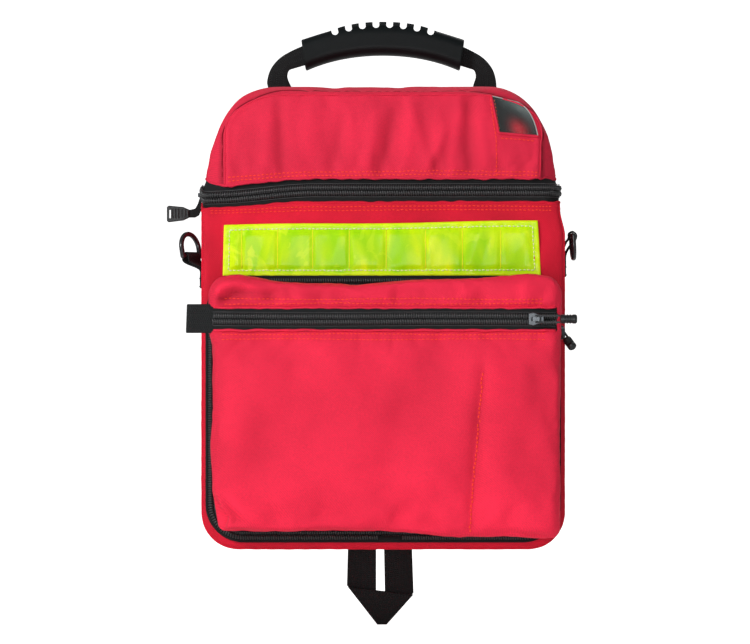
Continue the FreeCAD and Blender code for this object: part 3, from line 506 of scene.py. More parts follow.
# reflective tape: glossy prism film, painted greener in patches where it lies flat and yellower where it lifts, as a
# painted reflection; a painted glare and a faint painted glow on top
def reflective_mat():
    m, nt, b = new_mat("reflective_tape")
    L = nt.links
    tc = nt.nodes.new("ShaderNodeTexCoord")
    sp = nt.nodes.new("ShaderNodeSeparateXYZ"); L.new(tc.outputs["UV"], sp.inputs[0])
    u, v = sp.outputs[0], sp.outputs[1]
    patch = nd(nt, "ShaderNodeTexNoise", Scale=0.055, Detail=2.0, Roughness=0.45, Distortion=0.6)
    mp = nd(nt, "ShaderNodeMapping"); mp.inputs["Scale"].default_value = (1.0, 0.35, 1.0)
    L.new(tc.outputs["UV"], mp.inputs["Vector"]); L.new(mp.outputs[0], patch.inputs["Vector"])
    # yellow at the borders outside the stitch line
    edge = math_node(nt, "MINIMUM", math_node(nt, "MINIMUM", u, math_node(nt, "SUBTRACT", 271.5, u)), math_node(nt, "MINIMUM", v, math_node(nt, "SUBTRACT", 47.0, v)))
    inner = math_node(nt, "MULTIPLY", edge, 0.22); inner = math_node(nt, "MINIMUM", inner, 1.0)
    f = math_node(nt, "MULTIPLY", math_node(nt, "MULTIPLY_ADD", patch.outputs["Fac"], 2.2, -0.55), inner)
    col = ramp(nt, f, [(0.0, (0.66, 0.82, 0.002)), (0.4, (0.46, 0.73, 0.002)), (0.85, (0.30, 0.64, 0.001))])
    # fine prism lattice
    pr = nt.nodes.new("ShaderNodeTexVoronoi"); pr.feature = "DISTANCE_TO_EDGE"; pr.inputs["Scale"].default_value = 0.55
    L.new(tc.outputs["UV"], pr.inputs["Vector"])
    mix = nt.nodes.new("ShaderNodeMix"); mix.data_type = "RGBA"; mix.blend_type = "MULTIPLY"; mix.inputs["Factor"].default_value = 0.16
    L.new(col, mix.inputs["A"])
    L.new(ramp(nt, pr.outputs["Distance"], [(0.0, (0.55, 0.7, 0.2)), (0.12, (1, 1, 1))]), mix.inputs["B"])
    L.new(mix.outputs["Result"], b.inputs["Base Color"])
    # pale glare where the film catches the light
    gl = nd(nt, "ShaderNodeTexNoise", Scale=0.045, Detail=3.0, Roughness=0.5, Distortion=1.1)
    mg = nd(nt, "ShaderNodeMapping"); mg.inputs["Scale"].default_value = (1.0, 0.7, 1.0); mg.inputs["Location"].default_value = (3.1, 1.7, 0.0)
    L.new(tc.outputs["UV"], mg.inputs["Vector"]); L.new(mg.outputs[0], gl.inputs["Vector"])
    near = math_node(nt, "MAXIMUM", math_node(nt, "SUBTRACT", 1.0, math_node(nt, "MULTIPLY", u, 0.011)), 0.0)
    gf = math_node(nt, "MULTIPLY", math_node(nt, "MAXIMUM", math_node(nt, "SUBTRACT", math_node(nt, "ADD", gl.outputs["Fac"], math_node(nt, "MULTIPLY", near, 0.17)), 0.600), 0.0), 9.0)
    m2 = nt.nodes.new("ShaderNodeMix"); m2.data_type = "RGBA"
    L.new(math_node(nt, "MINIMUM", gf, math_node(nt, "MULTIPLY_ADD", near, 0.30, 0.16)), m2.inputs["Factor"]); L.new(mix.outputs["Result"], m2.inputs["A"]); m2.inputs["B"].default_value = (0.80, 0.92, 0.04, 1)
    mix = m2
    L.new(mix.outputs["Result"], b.inputs["Base Color"])
    b.inputs["Roughness"].default_value = 0.34
    b.inputs["Specular IOR Level"].default_value = 0.10
    b.inputs["Coat Weight"].default_value = 0.12
    b.inputs["Coat Roughness"].default_value = 0.10
    # painted light: the film also glows faintly in its own colour, though it is no lamp
    L.new(mix.outputs["Result"], b.inputs["Emission Color"])
    b.inputs["Emission Strength"].default_value = 0.10
    bp = nd(nt, "ShaderNodeBump", Strength=0.22, Distance=0.0003)
    L.new(pr.outputs["Distance"], bp.inputs["Height"])
    L.new(bp.outputs["Normal"], b.inputs["Normal"])
    return m


def window_mat():
    """Dark card behind the window: lighter grey-green to the upper right, a soft red reflection low down."""
    m, nt, b = new_mat("window_insert")
    L = nt.links
    tc = nt.nodes.new("ShaderNodeTexCoord")
    sp = nt.nodes.new("ShaderNodeSeparateXYZ"); L.new(tc.outputs["UV"], sp.inputs[0])
    u, v = sp.outputs[0], sp.outputs[1]
    nz = nd(nt, "ShaderNodeTexNoise", Scale=2.2, Detail=2.0); L.new(tc.outputs["UV"], nz.inputs["Vector"])
    f = math_node(nt, "ADD", math_node(nt, "MULTIPLY", math_node(nt, "ADD", u, v), 0.5), math_node(nt, "MULTIPLY", math_node(nt, "SUBTRACT", nz.outputs["Fac"], 0.5), 0.35))
    base = ramp(nt, f, [(0.15, (0.002, 0.003, 0.003)), (0.46, (0.004, 0.006, 0.006)), (0.66, (0.035, 0.046, 0.045)), (1.0, (0.15, 0.18, 0.175))])
    du = math_node(nt, "MULTIPLY", math_node(nt, "SUBTRACT", u, 0.56), 2.8)
    dv = math_node(nt, "MULTIPLY", math_node(nt, "SUBTRACT", v, 0.12), 2.4)
    r2 = math_node(nt, "ADD", math_node(nt, "MULTIPLY", du, du), math_node(nt, "MULTIPLY", dv, dv))
    g = math_node(nt, "POWER", 2.718, math_node(nt, "MULTIPLY", r2, -3.2))
    mix = nt.nodes.new("ShaderNodeMix"); mix.data_type = "RGBA"
    L.new(g, mix.inputs["Factor"]); L.new(base, mix.inputs["A"]); mix.inputs["B"].default_value = (0.42, 0.010, 0.022, 1)
    L.new(mix.outputs["Result"], b.inputs["Base Color"])
    b.inputs["Roughness"].default_value = 0.5
    b.inputs["Specular IOR Level"].default_value = 0.12
    return m


def film_mat():
    m, nt, b = new_mat("clear_vinyl")
    tc = nt.nodes.new("ShaderNodeTexCoord")
    nz = nd(nt, "ShaderNodeTexNoise", Scale=60.0, Detail=2.0); nt.links.new(tc.outputs["Object"], nz.inputs["Vector"])
    bp = nd(nt, "ShaderNodeBump", Strength=0.25, Distance=0.0006)
    nt.links.new(nz.outputs["Fac"], bp.inputs["Height"]); nt.links.new(bp.outputs["Normal"], b.inputs["Normal"])
    b.inputs["Base Color"].default_value = (0.9, 0.93, 0.93, 1)
    b.inputs["Roughness"].default_value = 0.08
    b.inputs["Alpha"].default_value = 0.03
    b.inputs["Specular IOR Level"].default_value = 0.2
    return m


M_REFL = reflective_mat()
M_WIN = window_mat()
M_FILM = film_mat()
M_WELD = plastic("weld_line", (0.84, 0.80, 0.01), rough=0.4, spec=0.2, coat=0.1, grain=0.1)


# ------------------------------------------------------------------ soft shells from a lattice
def lattice(nx, ny, nz, drop=()):
    pts, faces, idx = [], [], {}

    def vid(i, j, k):
        key = (i, j, k)
        if key not in idx:
            idx[key] = len(pts)
            pts.append(key)
        return idx[key]

    def put(na, nb, fn):
        for a in range(na):
            for b in range(nb):
                faces.append([vid(*fn(a, b)), vid(*fn(a + 1, b)), vid(*fn(a + 1, b + 1)), vid(*fn(a, b + 1))])

    if "front" not in drop:
        put(nx, nz, lambda a, b: (a, 0, b))
    if "back" not in drop:
        put(nz, nx, lambda a, b: (b, ny, a))
    if "left" not in drop:
        put(nz, ny, lambda a, b: (0, b, a))
    if "right" not in drop:
        put(ny, nz, lambda a, b: (nx, a, b))
    if "bottom" not in drop:
        put(ny, nx, lambda a, b: (b, a, 0))
    if "top" not in drop:
        put(nx, ny, lambda a, b: (a, b, nz))
    return np.array(pts), np.array(faces)


def soft_shell(nx, ny, nz, y0, y1, prof, re_f, re_b, open_top=False, open_bottom=False, drop=()):
    """Rounded padded form. prof(d) gives half width, z0, z1 and the corner radii (top x, top z, bottom x, bottom z)
    at depth d behind the front. Returns vertices, quads, and each vertex's depth and distance from its outline."""
    ijk, q = lattice(nx, ny, nz, drop)
    u = ijk[:, 0] / nx * 2 - 1
    w = ijk[:, 2] / nz
    d = ijk[:, 1] / ny * (y1 - y0)
    hw, z0, z1, rxt, rzt, rxb, rzb = [np.broadcast_to(np.asarray(a, float), d.shape).copy() for a in prof(d)]
    x, z = u * hw, z0 + w * (z1 - z0)
    top = (w > 0.5) | open_bottom
    if open_top:
        top = np.zeros_like(top)
    rx, rz = np.where(top, rxt, rxb), np.where(top, rzt, rzb)
    tx = hw - np.abs(x)
    tz_top, tz_bot = z1 - z, z - z0
    tz = np.minimum(np.full_like(tz_top, 1e9) if open_top else tz_top, np.full_like(tz_bot, 1e9) if open_bottom else tz_bot)
    t = np.minimum(tx, tz)
    sx = np.where(x >= 0, 1.0, -1.0)
    sz = np.where(top, 1.0, -1.0)
    tzc = np.where(top, tz_top, tz_bot)
    is_open = np.zeros_like(top)
    p = np.clip((rx - tx) / rx, 0, None)
    qq = np.clip((rz - tzc) / rz, 0, None)
    corner = (p > 0) & (qq > 0) & ~is_open
    m, h = np.maximum(p, qq), np.maximum(np.hypot(p, qq), 1e-9)
    p2, q2 = np.where(corner, p * m / h, p), np.where(corner, qq * m / h, qq)
    x = np.where(corner, sx * (hw - rx + p2 * rx), x)
    zc = np.where(top, z1 - rz + q2 * rz, z0 + rz - q2 * rz)
    z = np.where(corner, zc, z)
    nxn = np.where(corner, p2 / rx * sx, np.where(tx <= tz, sx, 0.0))
    nzn = np.where(corner, q2 / rz * sz, np.where(tx <= tz, 0.0, sz))
    ln = np.maximum(np.hypot(nxn, nzn), 1e-9)
    nxn, nzn = nxn / ln, nzn / ln
    y = y0 + d
    for re, dd, sgn, base in ((re_f, d, 1.0, y0), (re_b, (y1 - y0) - d, -1.0, y1)):
        if re <= 0:
            continue
        a = np.clip((re - t) / re, 0, 1)
        b = np.clip((re - dd) / re, 0, 1)
        on = (a > 0) & (b > 0)
        hh = np.maximum(np.hypot(a, b), 1e-9)
        mm = np.maximum(a, b)
        a2, b2 = a * mm / hh, b * mm / hh
        shift = np.where(on, (a - a2) * re, 0.0)
        x = x - nxn * shift
        z = z - nzn * shift
        y = np.where(on, base + sgn * re * (1 - b2), y)
    return np.stack([x, y, z], -1), q, d, t


def puff(jobs, frames=20):
    """Cloth simulation of several shells at once. jobs: (object, pin weights, pressure, shrink, cap in mm)."""
    if not jobs:
        return
    scene.frame_start, scene.frame_end = 1, frames
    rest = {}
    for o, pin, pressure, shrink, cap, bend in jobs:
        g = o.vertex_groups.new(name="pin")
        levels = np.round(np.clip(pin, 0, 1), 2)
        for w in np.unique(levels):
            if w > 0:
                g.add(np.nonzero(levels == w)[0].tolist(), float(w), "REPLACE")
        m = o.modifiers.new("cloth", "CLOTH")
        s = m.settings
        s.quality = 6
        s.mass = 0.25
        s.tension_stiffness = 18
        s.compression_stiffness = 12
        s.shear_stiffness = 6
        s.bending_stiffness = bend
        s.use_pressure = True
        s.uniform_pressure_force = pressure
        s.vertex_group_mass = "pin"
        s.pin_stiffness = 1.0
        s.shrink_min = shrink
        s.air_damping = 3.0
        s.effector_weights.gravity = 0.0
        m.point_cache.frame_start, m.point_cache.frame_end = 1, frames
        rest[o.name] = coords(o)
    for f in range(1, frames + 1):
        scene.frame_set(f)
    dg = bpy.context.evaluated_depsgraph_get()
    for o, pin, pressure, shrink, cap, bend in jobs:
        e = o.evaluated_get(dg)
        me = e.to_mesh()
        v = np.zeros(len(me.vertices) * 3, np.float32)
        me.vertices.foreach_get("co", v)
        v = v.reshape(-1, 3).astype(float) * 1000
        e.to_mesh_clear()
        mv = v - rest[o.name]
        ln = np.maximum(np.linalg.norm(mv, axis=1, keepdims=True), 1e-9)
        capv = np.broadcast_to(np.asarray(cap, float).reshape(-1, 1) if np.ndim(cap) else cap, ln.shape)
        mv = mv / ln * (capv * np.tanh(ln / np.maximum(capv, 1e-6)))
        o.modifiers.remove(o.modifiers["cloth"])
        o.vertex_groups.clear()
        set_coords(o, rest[o.name] + mv)
    scene.frame_set(1)


def catmull(p, n):
    """n points on a smooth curve through p."""
    p = np.asarray(p, float)
    d = np.concatenate([[0], np.cumsum(np.linalg.norm(np.diff(p, axis=0), axis=1))])
    m = np.gradient(p, d, axis=0)
    t = np.linspace(0, d[-1], n)
    k = np.clip(np.searchsorted(d, t) - 1, 0, len(p) - 2)
    h = d[k + 1] - d[k]
    s = ((t - d[k]) / h)[:, None]
    h = h[:, None]
    return (2 * s ** 3 - 3 * s ** 2 + 1) * p[k] + (s ** 3 - 2 * s ** 2 + s) * h * m[k] + (-2 * s ** 3 + 3 * s ** 2) * p[k + 1] + (s ** 3 - s ** 2) * h * m[k + 1]


def outline(hw, z0, z1, rxt, rzt, rxb, rzb, open_top=False, open_bottom=False, n=24, inset=0.0):
    """XZ outline, from the upper left going down, round the bottom and up the right (or the whole ring)."""
    hw, z0, z1 = hw - inset, z0 + (0 if open_bottom else inset), z1 - (0 if open_top else inset)
    th = np.linspace(0, np.pi / 2, n)
    tl = np.stack([-(hw - rxt) - rxt * np.sin(th), z1 - rzt + rzt * np.cos(th)], -1)
    bl = np.stack([-(hw - rxb) - rxb * np.cos(th), z0 + rzb - rzb * np.sin(th)], -1)
    br = np.stack([(hw - rxb) + rxb * np.sin(th), z0 + rzb - rzb * np.cos(th)], -1)
    tr = np.stack([(hw - rxt) + rxt * np.cos(th), z1 - rzt + rzt * np.sin(th)], -1)
    if open_top:
        return np.vstack([[[-hw, z1]], bl, br, [[hw, z1]]])
    if open_bottom:
        return np.vstack([[[-hw, z0]], tl[::-1], tr[::-1], [[hw, z0]]])
    return np.vstack([tl, bl, br, tr])


def at_y(p2, y):
    return np.stack([p2[:, 0], np.full(len(p2), y), p2[:, 1]], -1)


def dense(p, step=2.0, closed=False):
    return resample(p, step, closed)[0]


def strap(name, centre, across, width, mat, up=None, t=2.0, edge=0.5, uv0=0.0):
    """Flat webbing along centre (n,3). across (n,3) unit vectors over the width. Closed, with soft edges."""
    c = np.asarray(centre, float)
    n = len(c)
    w = np.broadcast_to(np.asarray(width, float), (n,))
    a = unit(np.asarray(across, float))
    tan = unit(np.gradient(c, axis=0))
    nn = unit(np.cross(tan, a))
    if up is not None:
        s = np.sign((nn * np.asarray(up)).sum(-1, keepdims=True))
        nn = nn * np.where(s == 0, 1, s)
    sec = [(-0.5, 0.0), (-0.485, 0.36), (-0.45, 0.5), (-0.2, 0.5), (0.0, 0.5), (0.2, 0.5), (0.45, 0.5), (0.485, 0.36), (0.5, 0.0), (0.485, -0.36), (0.45, -0.5), (0.2, -0.5), (0.0, -0.5), (-0.2, -0.5), (-0.45, -0.5), (-0.485, -0.36)]
    ring = np.stack([c + a * (sx * w)[:, None] + nn * sy * t for sx, sy in sec], 1)
    s = np.concatenate([[0], np.cumsum(np.linalg.norm(np.diff(c, axis=0), axis=1))]) + uv0
    uv = np.stack([np.stack([s, sx * w], -1) for sx, sy in sec], 1)
    k = len(sec)
    j = np.arange(k)
    i = np.arange(n - 1)
    ii, jj = np.meshgrid(i, j, indexing="ij")
    q = np.stack([ii * k + jj, ii * k + (jj + 1) % k, (ii + 1) * k + (jj + 1) % k, (ii + 1) * k + jj], -1).reshape(-1, 4)
    caps = []
    for e in (0, (n - 1) * k):
        for a0 in range(0, k // 2):
            a1, b0, b1 = a0 + 1, (k - a0) % k, (k - a0 - 1) % k
            if len({a0, a1, b0, b1}) == 4:
                caps.append([e + a0, e + a1, e + b1, e + b0])
    q = np.vstack([q, np.array(caps)])
    return mesh_obj(name, ring.reshape(-1, 3), q, mat, uv=uv.reshape(-1, 2))


def coil(bits, path, nrm, side, pitch=2.0, closed=False, lo=0.25, hi=4.75, h=1.75, phase=0.0, r=0.78):
    """One row of coil teeth along a parting line. side is +1 or -1 across the path."""
    q, t = resample(path, pitch, closed)
    if np.ndim(nrm) == 1:
        n = np.repeat(np.asarray(nrm, float)[None], len(q), 0)
    else:
        near = np.argmin(((q[:, None, :] - np.asarray(path)[None]) ** 2).sum(-1), 1)
        n = unit(np.asarray(nrm)[near])
    b = unit(np.cross(t, n)) * side
    q = q + t * phase * pitch
    al = np.array([lo, lo + 0.75, (lo + hi) / 2, hi - 0.7, hi])
    hh = np.array([0.55, 0.92, 1.0, 0.90, 0.25]) * h - 0.1
    rr = np.array([0.75, 1.0, 0.92, 0.9, 0.6]) * r
    lean = np.array([-0.10, -0.05, 0.0, 0.06, 0.12]) * pitch
    c = q[:, None, :] + b[:, None, :] * al[None, :, None] + n[:, None, :] * hh[None, :, None] + t[:, None, :] * lean[None, :, None]
    tt = np.repeat(t[:, None, :], 5, 1)
    nn = np.repeat(n[:, None, :], 5, 1)
    bits.sweep(c, np.repeat(rr[None], len(q), 0), tt, nn, sides=6)


def tape_strip(name, path, nrm, side, a0, a1, mat, closed=False, lift=0.0, sag=0.5, t=0.7, rows=7):
    """Zip tape on one side of a parting line."""
    p = np.asarray(path, float)
    tan = unit(np.roll(p, -1, 0) - np.roll(p, 1, 0)) if closed else unit(np.gradient(p, axis=0))
    n = np.repeat(np.asarray(nrm, float)[None], len(p), 0) if np.ndim(nrm) == 1 else np.asarray(nrm, float)
    b = unit(np.cross(tan, n)) * side
    if closed:
        p, n, b = [np.vstack([x, x[:1]]) for x in (p, n, b)]
    al = np.linspace(a0, a1, rows)
    f = (al - a0) / (a1 - a0)
    g = p[:, None, :] + b[:, None, :] * al[None, :, None] + n[:, None, :] * (lift - sag * f ** 2)[None, :, None]
    s = np.concatenate([[0], np.cumsum(np.linalg.norm(np.diff(p, axis=0), axis=1))])
    uv = np.stack(np.broadcast_arrays(s[:, None], al[None, :]), -1)
    o = grid_obj(name, g, mat, uv=uv, flip=side > 0)
    return thick(o, t, 0.0)


# ------------------------------------------------------------------ the three soft shells
def case_prof(d, u=None):
    return CHW, 0.0, CTOP, 1.0, 1.0, 32.0, 32.0


def lid_prof(d, u=None):
    g = 1 - smooth01(d / 19.0)
    return LHW - (LHW - LFHW) * g, LBOT, LTOP - 7.0 * g, 61.0 - 7.0 * g, 72.0 - 42.0 * g, 1.0, 1.0


def soft(nx, ny, nz, y0, y1, prof, re_f, re_b, **kw):
    return soft_shell(nx, ny, nz, y0, y1, prof, re_f, re_b, **kw)


cv, cq, cd, ct = soft(64, 24, 60, YF, YB, case_prof, 7.0, 5.0, open_top=True, drop=("top",))
case = mesh_obj("case_shell", cv, cq, M_CASE)
lv, lq, ld, lt = soft(80, 30, 24, YF, YB, lid_prof, 5.0, 6.0, open_bottom=True, drop=("bottom",))
lid = mesh_obj("lid_shell", lv, lq, M_LID)


def pocket_prof(d):
    # d runs from the front at 0 to the neck at 42
    g = smooth01((d - 27.0) / 8.0)
    return PHW - 7.5 * g, PZ0 + 4.5 * g, PZ1 - 8.5 * g, 11.0, 14.0, 6.0 + 10.0 * g, 9.0 + 10.0 * g


def curve(x, xs, ys, w=7.0):
    """Rounded version of a broken line through (xs, ys)."""
    g = np.linspace(min(xs) - 40, max(xs) + 40, 900)
    k = np.exp(-((np.arange(-60, 61) * (g[1] - g[0])) / w) ** 2)
    y = np.convolve(np.pad(np.interp(g, xs, ys), 60, mode="edge"), k / k.sum(), mode="valid")
    return np.interp(x, g, y)


pv, pq, pd, pt = soft(74, 14, 56, PYF, PYB - 0.4, pocket_prof, 9.0, 3.0)
# the lower left corner is folded in and stands back; the bottom edge rises and falls along the zip
inset = curve(pv[:, 2] - PZ0, [0, 3, 11, 19, 36, 44], [8.0, 9.5, 13.0, 7.0, 0.6, 0.0], 3.0)
neck = 1 - smooth01((pd - 20.0) / 13.0)
pv[:, 0] += inset * smooth01((-pv[:, 0] - 100) / 38) * neck
XB = PHW * np.array([-1.0, -0.91, -0.57, -0.31, -0.01, 0.20, 0.34, 0.48, 0.61, 0.74, 0.89, 1.0])
ZB = [4.2, 4.2, 2.4, 4.6, 3.4, 0.4, -1.6, -2.2, -1.6, -0.4, -1.8, -1.8]
pv[:, 0] += 2.4 * smooth01((-pv[:, 0] - 100) / 40) * smooth01((PZZ - 6 - pv[:, 2]) / 20) * neck
pv[:, 0] += 3.0 * smooth01((pv[:, 0] - 108) / 38) * neck * (1 - 0.45 * smooth01((70 - pv[:, 2]) / 44))
pv[:, 2] += curve(pv[:, 0], XB, ZB) * smooth01((PZ0 + 30 - pv[:, 2]) / 26) * neck
pocket = mesh_obj("pocket_shell", pv, pq, M_POCKET)

# the lid's front panel reaches its top edge along the middle
lift = 4.6 * (1 - smooth01(ld / 16.0)) * smooth01((118 - np.abs(lv[:, 0] + 8)) / 46) * smooth01((lv[:, 2] - LTOP + 44) / 34)
lv[:, 2] += lift


def taper(x, z, d):
    """The lid's sides lean in behind its front seam, the right one more."""
    left = 4.0 * np.sin(np.pi * np.clip((z - LBOT) / 70, 0, 1)) * smooth01((-x - 96) / 50)
    return smooth01(d / 22) * (7.0 * smooth01((z - LBOT) / 38) * smooth01((x - 96) / 50) - left)


lv[:, 0] -= taper(lv[:, 0], lv[:, 2], ld)
set_coords(lid, lv)

# ---- simulation: pressure against pinned seams
front_l = (ld < 0.1)
pin_lid = np.where(lv[:, 2] < LBOT + 6.4, 1.0, 0.0)
pin_lid = np.maximum(pin_lid, np.where((ld < 3.0) & (lt < 3.5), 0.92, 0.0))
pin_lid = np.maximum(pin_lid, np.where(ld > 108, 1.0, 0.0))
cap_lid = np.where(front_l, 0.6 + 2.6 * smooth01(lt / 26), 2.0)
pin_pocket = np.where(pd > 30, 1.0, 0.0)
pin_pocket = np.maximum(pin_pocket, np.where((np.abs(pv[:, 2] - PZZ) < 12.5) & (pd < 14), 1.0, 0.0))
pin_pocket = np.maximum(pin_pocket, np.where((pd > 0.1) & (pd <= 30), 0.35, 0.0))
cap_pocket = np.where(pd < 0.1, 1.0 + 5.5 * smooth01(pt / 45), 1.0)
puff([(lid, pin_lid, 3.0, -0.02, cap_lid, 0.4), (pocket, pin_pocket, 3.5, -0.025, cap_pocket, 0.4)], 20)

# ---- case: slight sag of the side walls between the seams, and soft wrinkles
v, n = coords(case), normals(case)
side = (cd > 4) & (cd < 116)
amp = np.where(side, 0.75 * np.sin(np.pi * np.clip(cd / 120, 0, 1)), 0.0)
fade_top = smooth01((CTOP - 0.4 - v[:, 2]) / 14)
v = v + n * (amp * (waves(v, 62, 3) - 1.0) * fade_top)[:, None]
back_f = cd > 119.9
v = v + n * (np.where(back_f, 0.35 * (waves(v, 80, 5) - 1.4), 0.0) * smooth01(ct / 12))[:, None]
front_f = cd < 0.1
# painted light and shade on the case: soft darker and lighter patches on the front above the pocket, and painted shade
# where the front turns to the sides
FB = np.where(front_f & (v[:, 2] > PZ1 - 1), waves(v, 30, 7), 0.0)
painted_light_and_shade(case, np.clip(-0.07 * FB + 0.13 * (cd < 6) * smooth01((np.abs(v[:, 0]) - 134) / 12), -0.06, 0.25))
v = v + n * (np.where(front_f & (v[:, 2] > PZ1 - 1), 0.8 * (waves(v, 38, 6) - 0.3), 0.0) * smooth01(ct / 10) * fade_top)[:, None]
# shallow seam grooves round the front and the back
for dd in (6.0, 114.0):
    v = v - n * (0.7 * np.exp(-((cd - dd) / 2.4) ** 2))[:, None] * (cv[:, 2] > -1)[:, None]
set_coords(case, v)

# ---- lid: fanned folds on the front, small pleats by the seams
v, n = coords(lid), normals(lid)
X, Z = v[:, 0], v[:, 2]
F = np.zeros(len(v))
LID_FOLDS = [
    ((0.162, 0.069), (0.184, 0.722), 7, 1.0), ((0.221, 0.047), (0.209, 0.875), 4.5, -1.3), ((0.279, 0.069), (0.307, 0.787), 8, 0.9),
    ((0.357, 0.047), (0.393, 0.722), 5, -0.9), ((0.413, 0.069), (0.413, 0.657), 6, 0.8), ((0.455, 0.047), (0.485, 0.766), 6.5, 1.5),
    ((0.499, 0.047), (0.538, 0.809), 5, -1.6), ((0.558, 0.047), (0.586, 0.744), 6, 0.9), ((0.619, 0.069), (0.675, 0.548), 5, 1.7),
    ((0.65, 0.091), (0.605, 0.787), 5, -1.3), ((0.689, 0.047), (0.72, 0.853), 5.5, 1.4), ((0.742, 0.047), (0.739, 0.885), 5, -1.6),
    ((0.787, 0.069), (0.77, 0.766), 6, 0.9), ((0.089, 0.091), (0.117, 0.591), 6, -0.7), ((0.854, 0.025), (0.84, 0.352), 6, 0.5),
]
for a, b, w, amp in LID_FOLDS:
    F += fold(X, Z, spot(B_LID, *a), spot(B_LID, *b), w * 0.85, amp * 1.8)
HZ = Z - LBOT
F += (0.8 * waves(v * np.array([1, 1, 0.45]), 30, 11) + 0.3 * waves(v * np.array([1, 1, 0.6]), 13, 12)) * smooth01((HZ - 4) / 14)
F += 0.42 * np.sin(X / 2.35 + 2.0 * np.sin(X / 23)) * np.exp(-((HZ - 7) / 7) ** 2) * (0.35 + 0.65 * smooth01((X + 70) / 40))
F += 0.8 * np.sin(X / 4.3 + 1.7 * np.sin(X / 15.0)) * np.exp(-((HZ - 13) / 9) ** 2) * (0.3 + 0.7 * smooth01((X + 60) / 40))
wf = np.where(front_l, smooth01(lt / 8), 0.0)
v = v + n * (F * wf)[:, None]
# the cut of the window patch shows as a shallow step
step = smooth01((X - spot(B_LID, 0.801, 0)[0]) / 2.0) * wf
v = v + n * (0.8 * step)[:, None]
gus = (ld > 3) & (ld < 116)
wg = np.where(gus, np.sin(np.pi * ld / 120) ** 0.5, 0.0) * smooth01((HZ - 2) / 10)
v = v + n * (0.5 * (waves(v, 34, 13)) * wg - 0.4 * wg)[:, None]
v = v - n * (1.5 * np.exp(-((ld - 4.5) / 2.2) ** 2))[:, None]
back_l = ld > 119.9
v = v + n * (np.where(back_l, 0.3 * (waves(v, 60, 15) - 1.4), 0.0) * smooth01(lt / 12))[:, None]
set_coords(lid, v)
# painted shade in the seam groove round the front and in the fold valleys, painted highlight on the fold ridges
painted_light_and_shade(lid, np.clip(-0.055 * F * wf + 0.42 * np.exp(-((ld - 4.0) / 1.6) ** 2) * (LTOP - lv[:, 2] > 3.0), -0.10, 0.42))

# ---- pocket: wavy top edge, folded upper left corner, wrinkles near the vertical seam
v, n = coords(pocket), normals(pocket)
X, Z = v[:, 0], v[:, 2]
XT = PHW * np.array([-1.0, -0.93, -0.86, -0.79, -0.68, -0.62, -0.42, -0.23, -0.155, -0.07, 0.2, 0.53, 0.72, 0.83, 0.92, 1.0])
ZT = [0.0, 3.0, 4.6, 4.0, 2.0, 0.0, -2.0, -3.0, -4.6, -2.4, 1.3, 1.3, 4.0, 6.2, 5.2, 1.5]
v[:, 2] = Z + curve(X, XT, ZT, 5.0) * smooth01((Z - PZ1 + 17) / 15)
Z = v[:, 2]
F = np.zeros(len(v))
for a, b, w, amp in [
    ((0.021, 0.938), (0.05, 0.997), 5.5, 2.6), ((0.05, 0.997), (0.101, 0.997), 5.5, 2.6), ((0.098, 0.997), (0.153, 0.938), 5.0, 2.0),
    ((0.027, 0.923), (0.098, 0.95), 3.6, -3.0), ((0.098, 0.954), (0.193, 0.935), 3.4, -2.2), ((0.175, 0.97), (0.347, 0.938), 6.0, -0.8),
    ((0.261, 0.978), (0.261, 0.923), 9.0, 0.9), ((0.393, 0.978), (0.41, 0.915), 7.0, -0.7), ((0.525, 0.982), (0.502, 0.911), 8.0, 0.8),
    ((0.605, 0.997), (0.628, 0.911), 6.0, -0.8), ((0.748, 1.001), (0.725, 0.915), 8.0, 1.0), ((0.891, 1.017), (0.914, 0.923), 9.0, 1.2),
    ((0.782, 0.656), (0.748, -0.037), 4.5, -1.3), ((0.834, 0.641), (0.817, -0.017), 10.0, 0.7), ((0.708, 0.641), (0.685, -0.017), 12.0, 0.6),
    ((0.015, 0.727), (0.027, 0.061), 8.0, -0.9), ((0.067, 0.747), (0.084, 0.12), 16.0, 0.9), ((0.015, 0.139), (0.101, 0.002), 5.0, -2.4),
    ((0.038, 0.171), (0.153, 0.03), 6.0, 1.4), ((0.118, 0.719), (0.347, 0.641), 12.0, -0.5), ((0.261, 0.453), (0.605, 0.531), 22.0, -0.6),
    ((0.347, 0.257), (0.691, 0.218), 26.0, 0.6), ((0.662, 0.703), (0.742, 0.609), 10.0, 0.6), ((0.92, 0.727), (0.971, 0.453), 10.0, -0.6),
]:
    F += fold(X, Z, spot(B_POC, *a), spot(B_POC, *b), w * 0.84, amp * (2.6 if b[0] < 0.2 and b[1] > 0.9 else 1.7))
HP = Z - PZ0
FF = F.copy()
F += 2.0 * waves(v, 105, 20) + 1.3 * waves(v, 50, 21) + 0.35 * waves(v, 19, 22)
# puckers of the zip seams
puck = np.exp(-((Z - PZZ - 15.5) / 5.5) ** 2) + np.exp(-((Z - PZZ + 16.5) / 6.0) ** 2)
F += 0.50 * puck * np.sin(X / 2.7 + 1.7 * np.sin(X / 17))
# the vertical seam pulls short wrinkles to both sides
SX = curve(HP, [16, 40, 75, 110, 138], [spot(B_POC, f, 0)[0] for f in (0.750, 0.756, 0.765, 0.779, 0.787)], 10.0)
vs = smooth01((148 - HP) / 12) * smooth01((HP - 6) / 12)
F += vs * (-1.5 * np.exp(-((X - SX) / 2.6) ** 2) + 0.55 * np.exp(-((np.abs(X - SX) - 9) / 6.0) ** 2) * np.sin(HP / 3.6 + 1.3 * np.sin(HP / 11.0) + 0.05 * (X - SX)))
wf = np.where(pd < 0.1, smooth01(pt / 9), np.where(pd < 28, 0.35 * smooth01((30 - pd) / 10), 0.0))
wf = wf * (1 - np.where(pd < 14, smooth01((12.5 - np.abs(Z - PZZ)) / 3.0), 0.0))
v = v + n * (F * wf)[:, None]
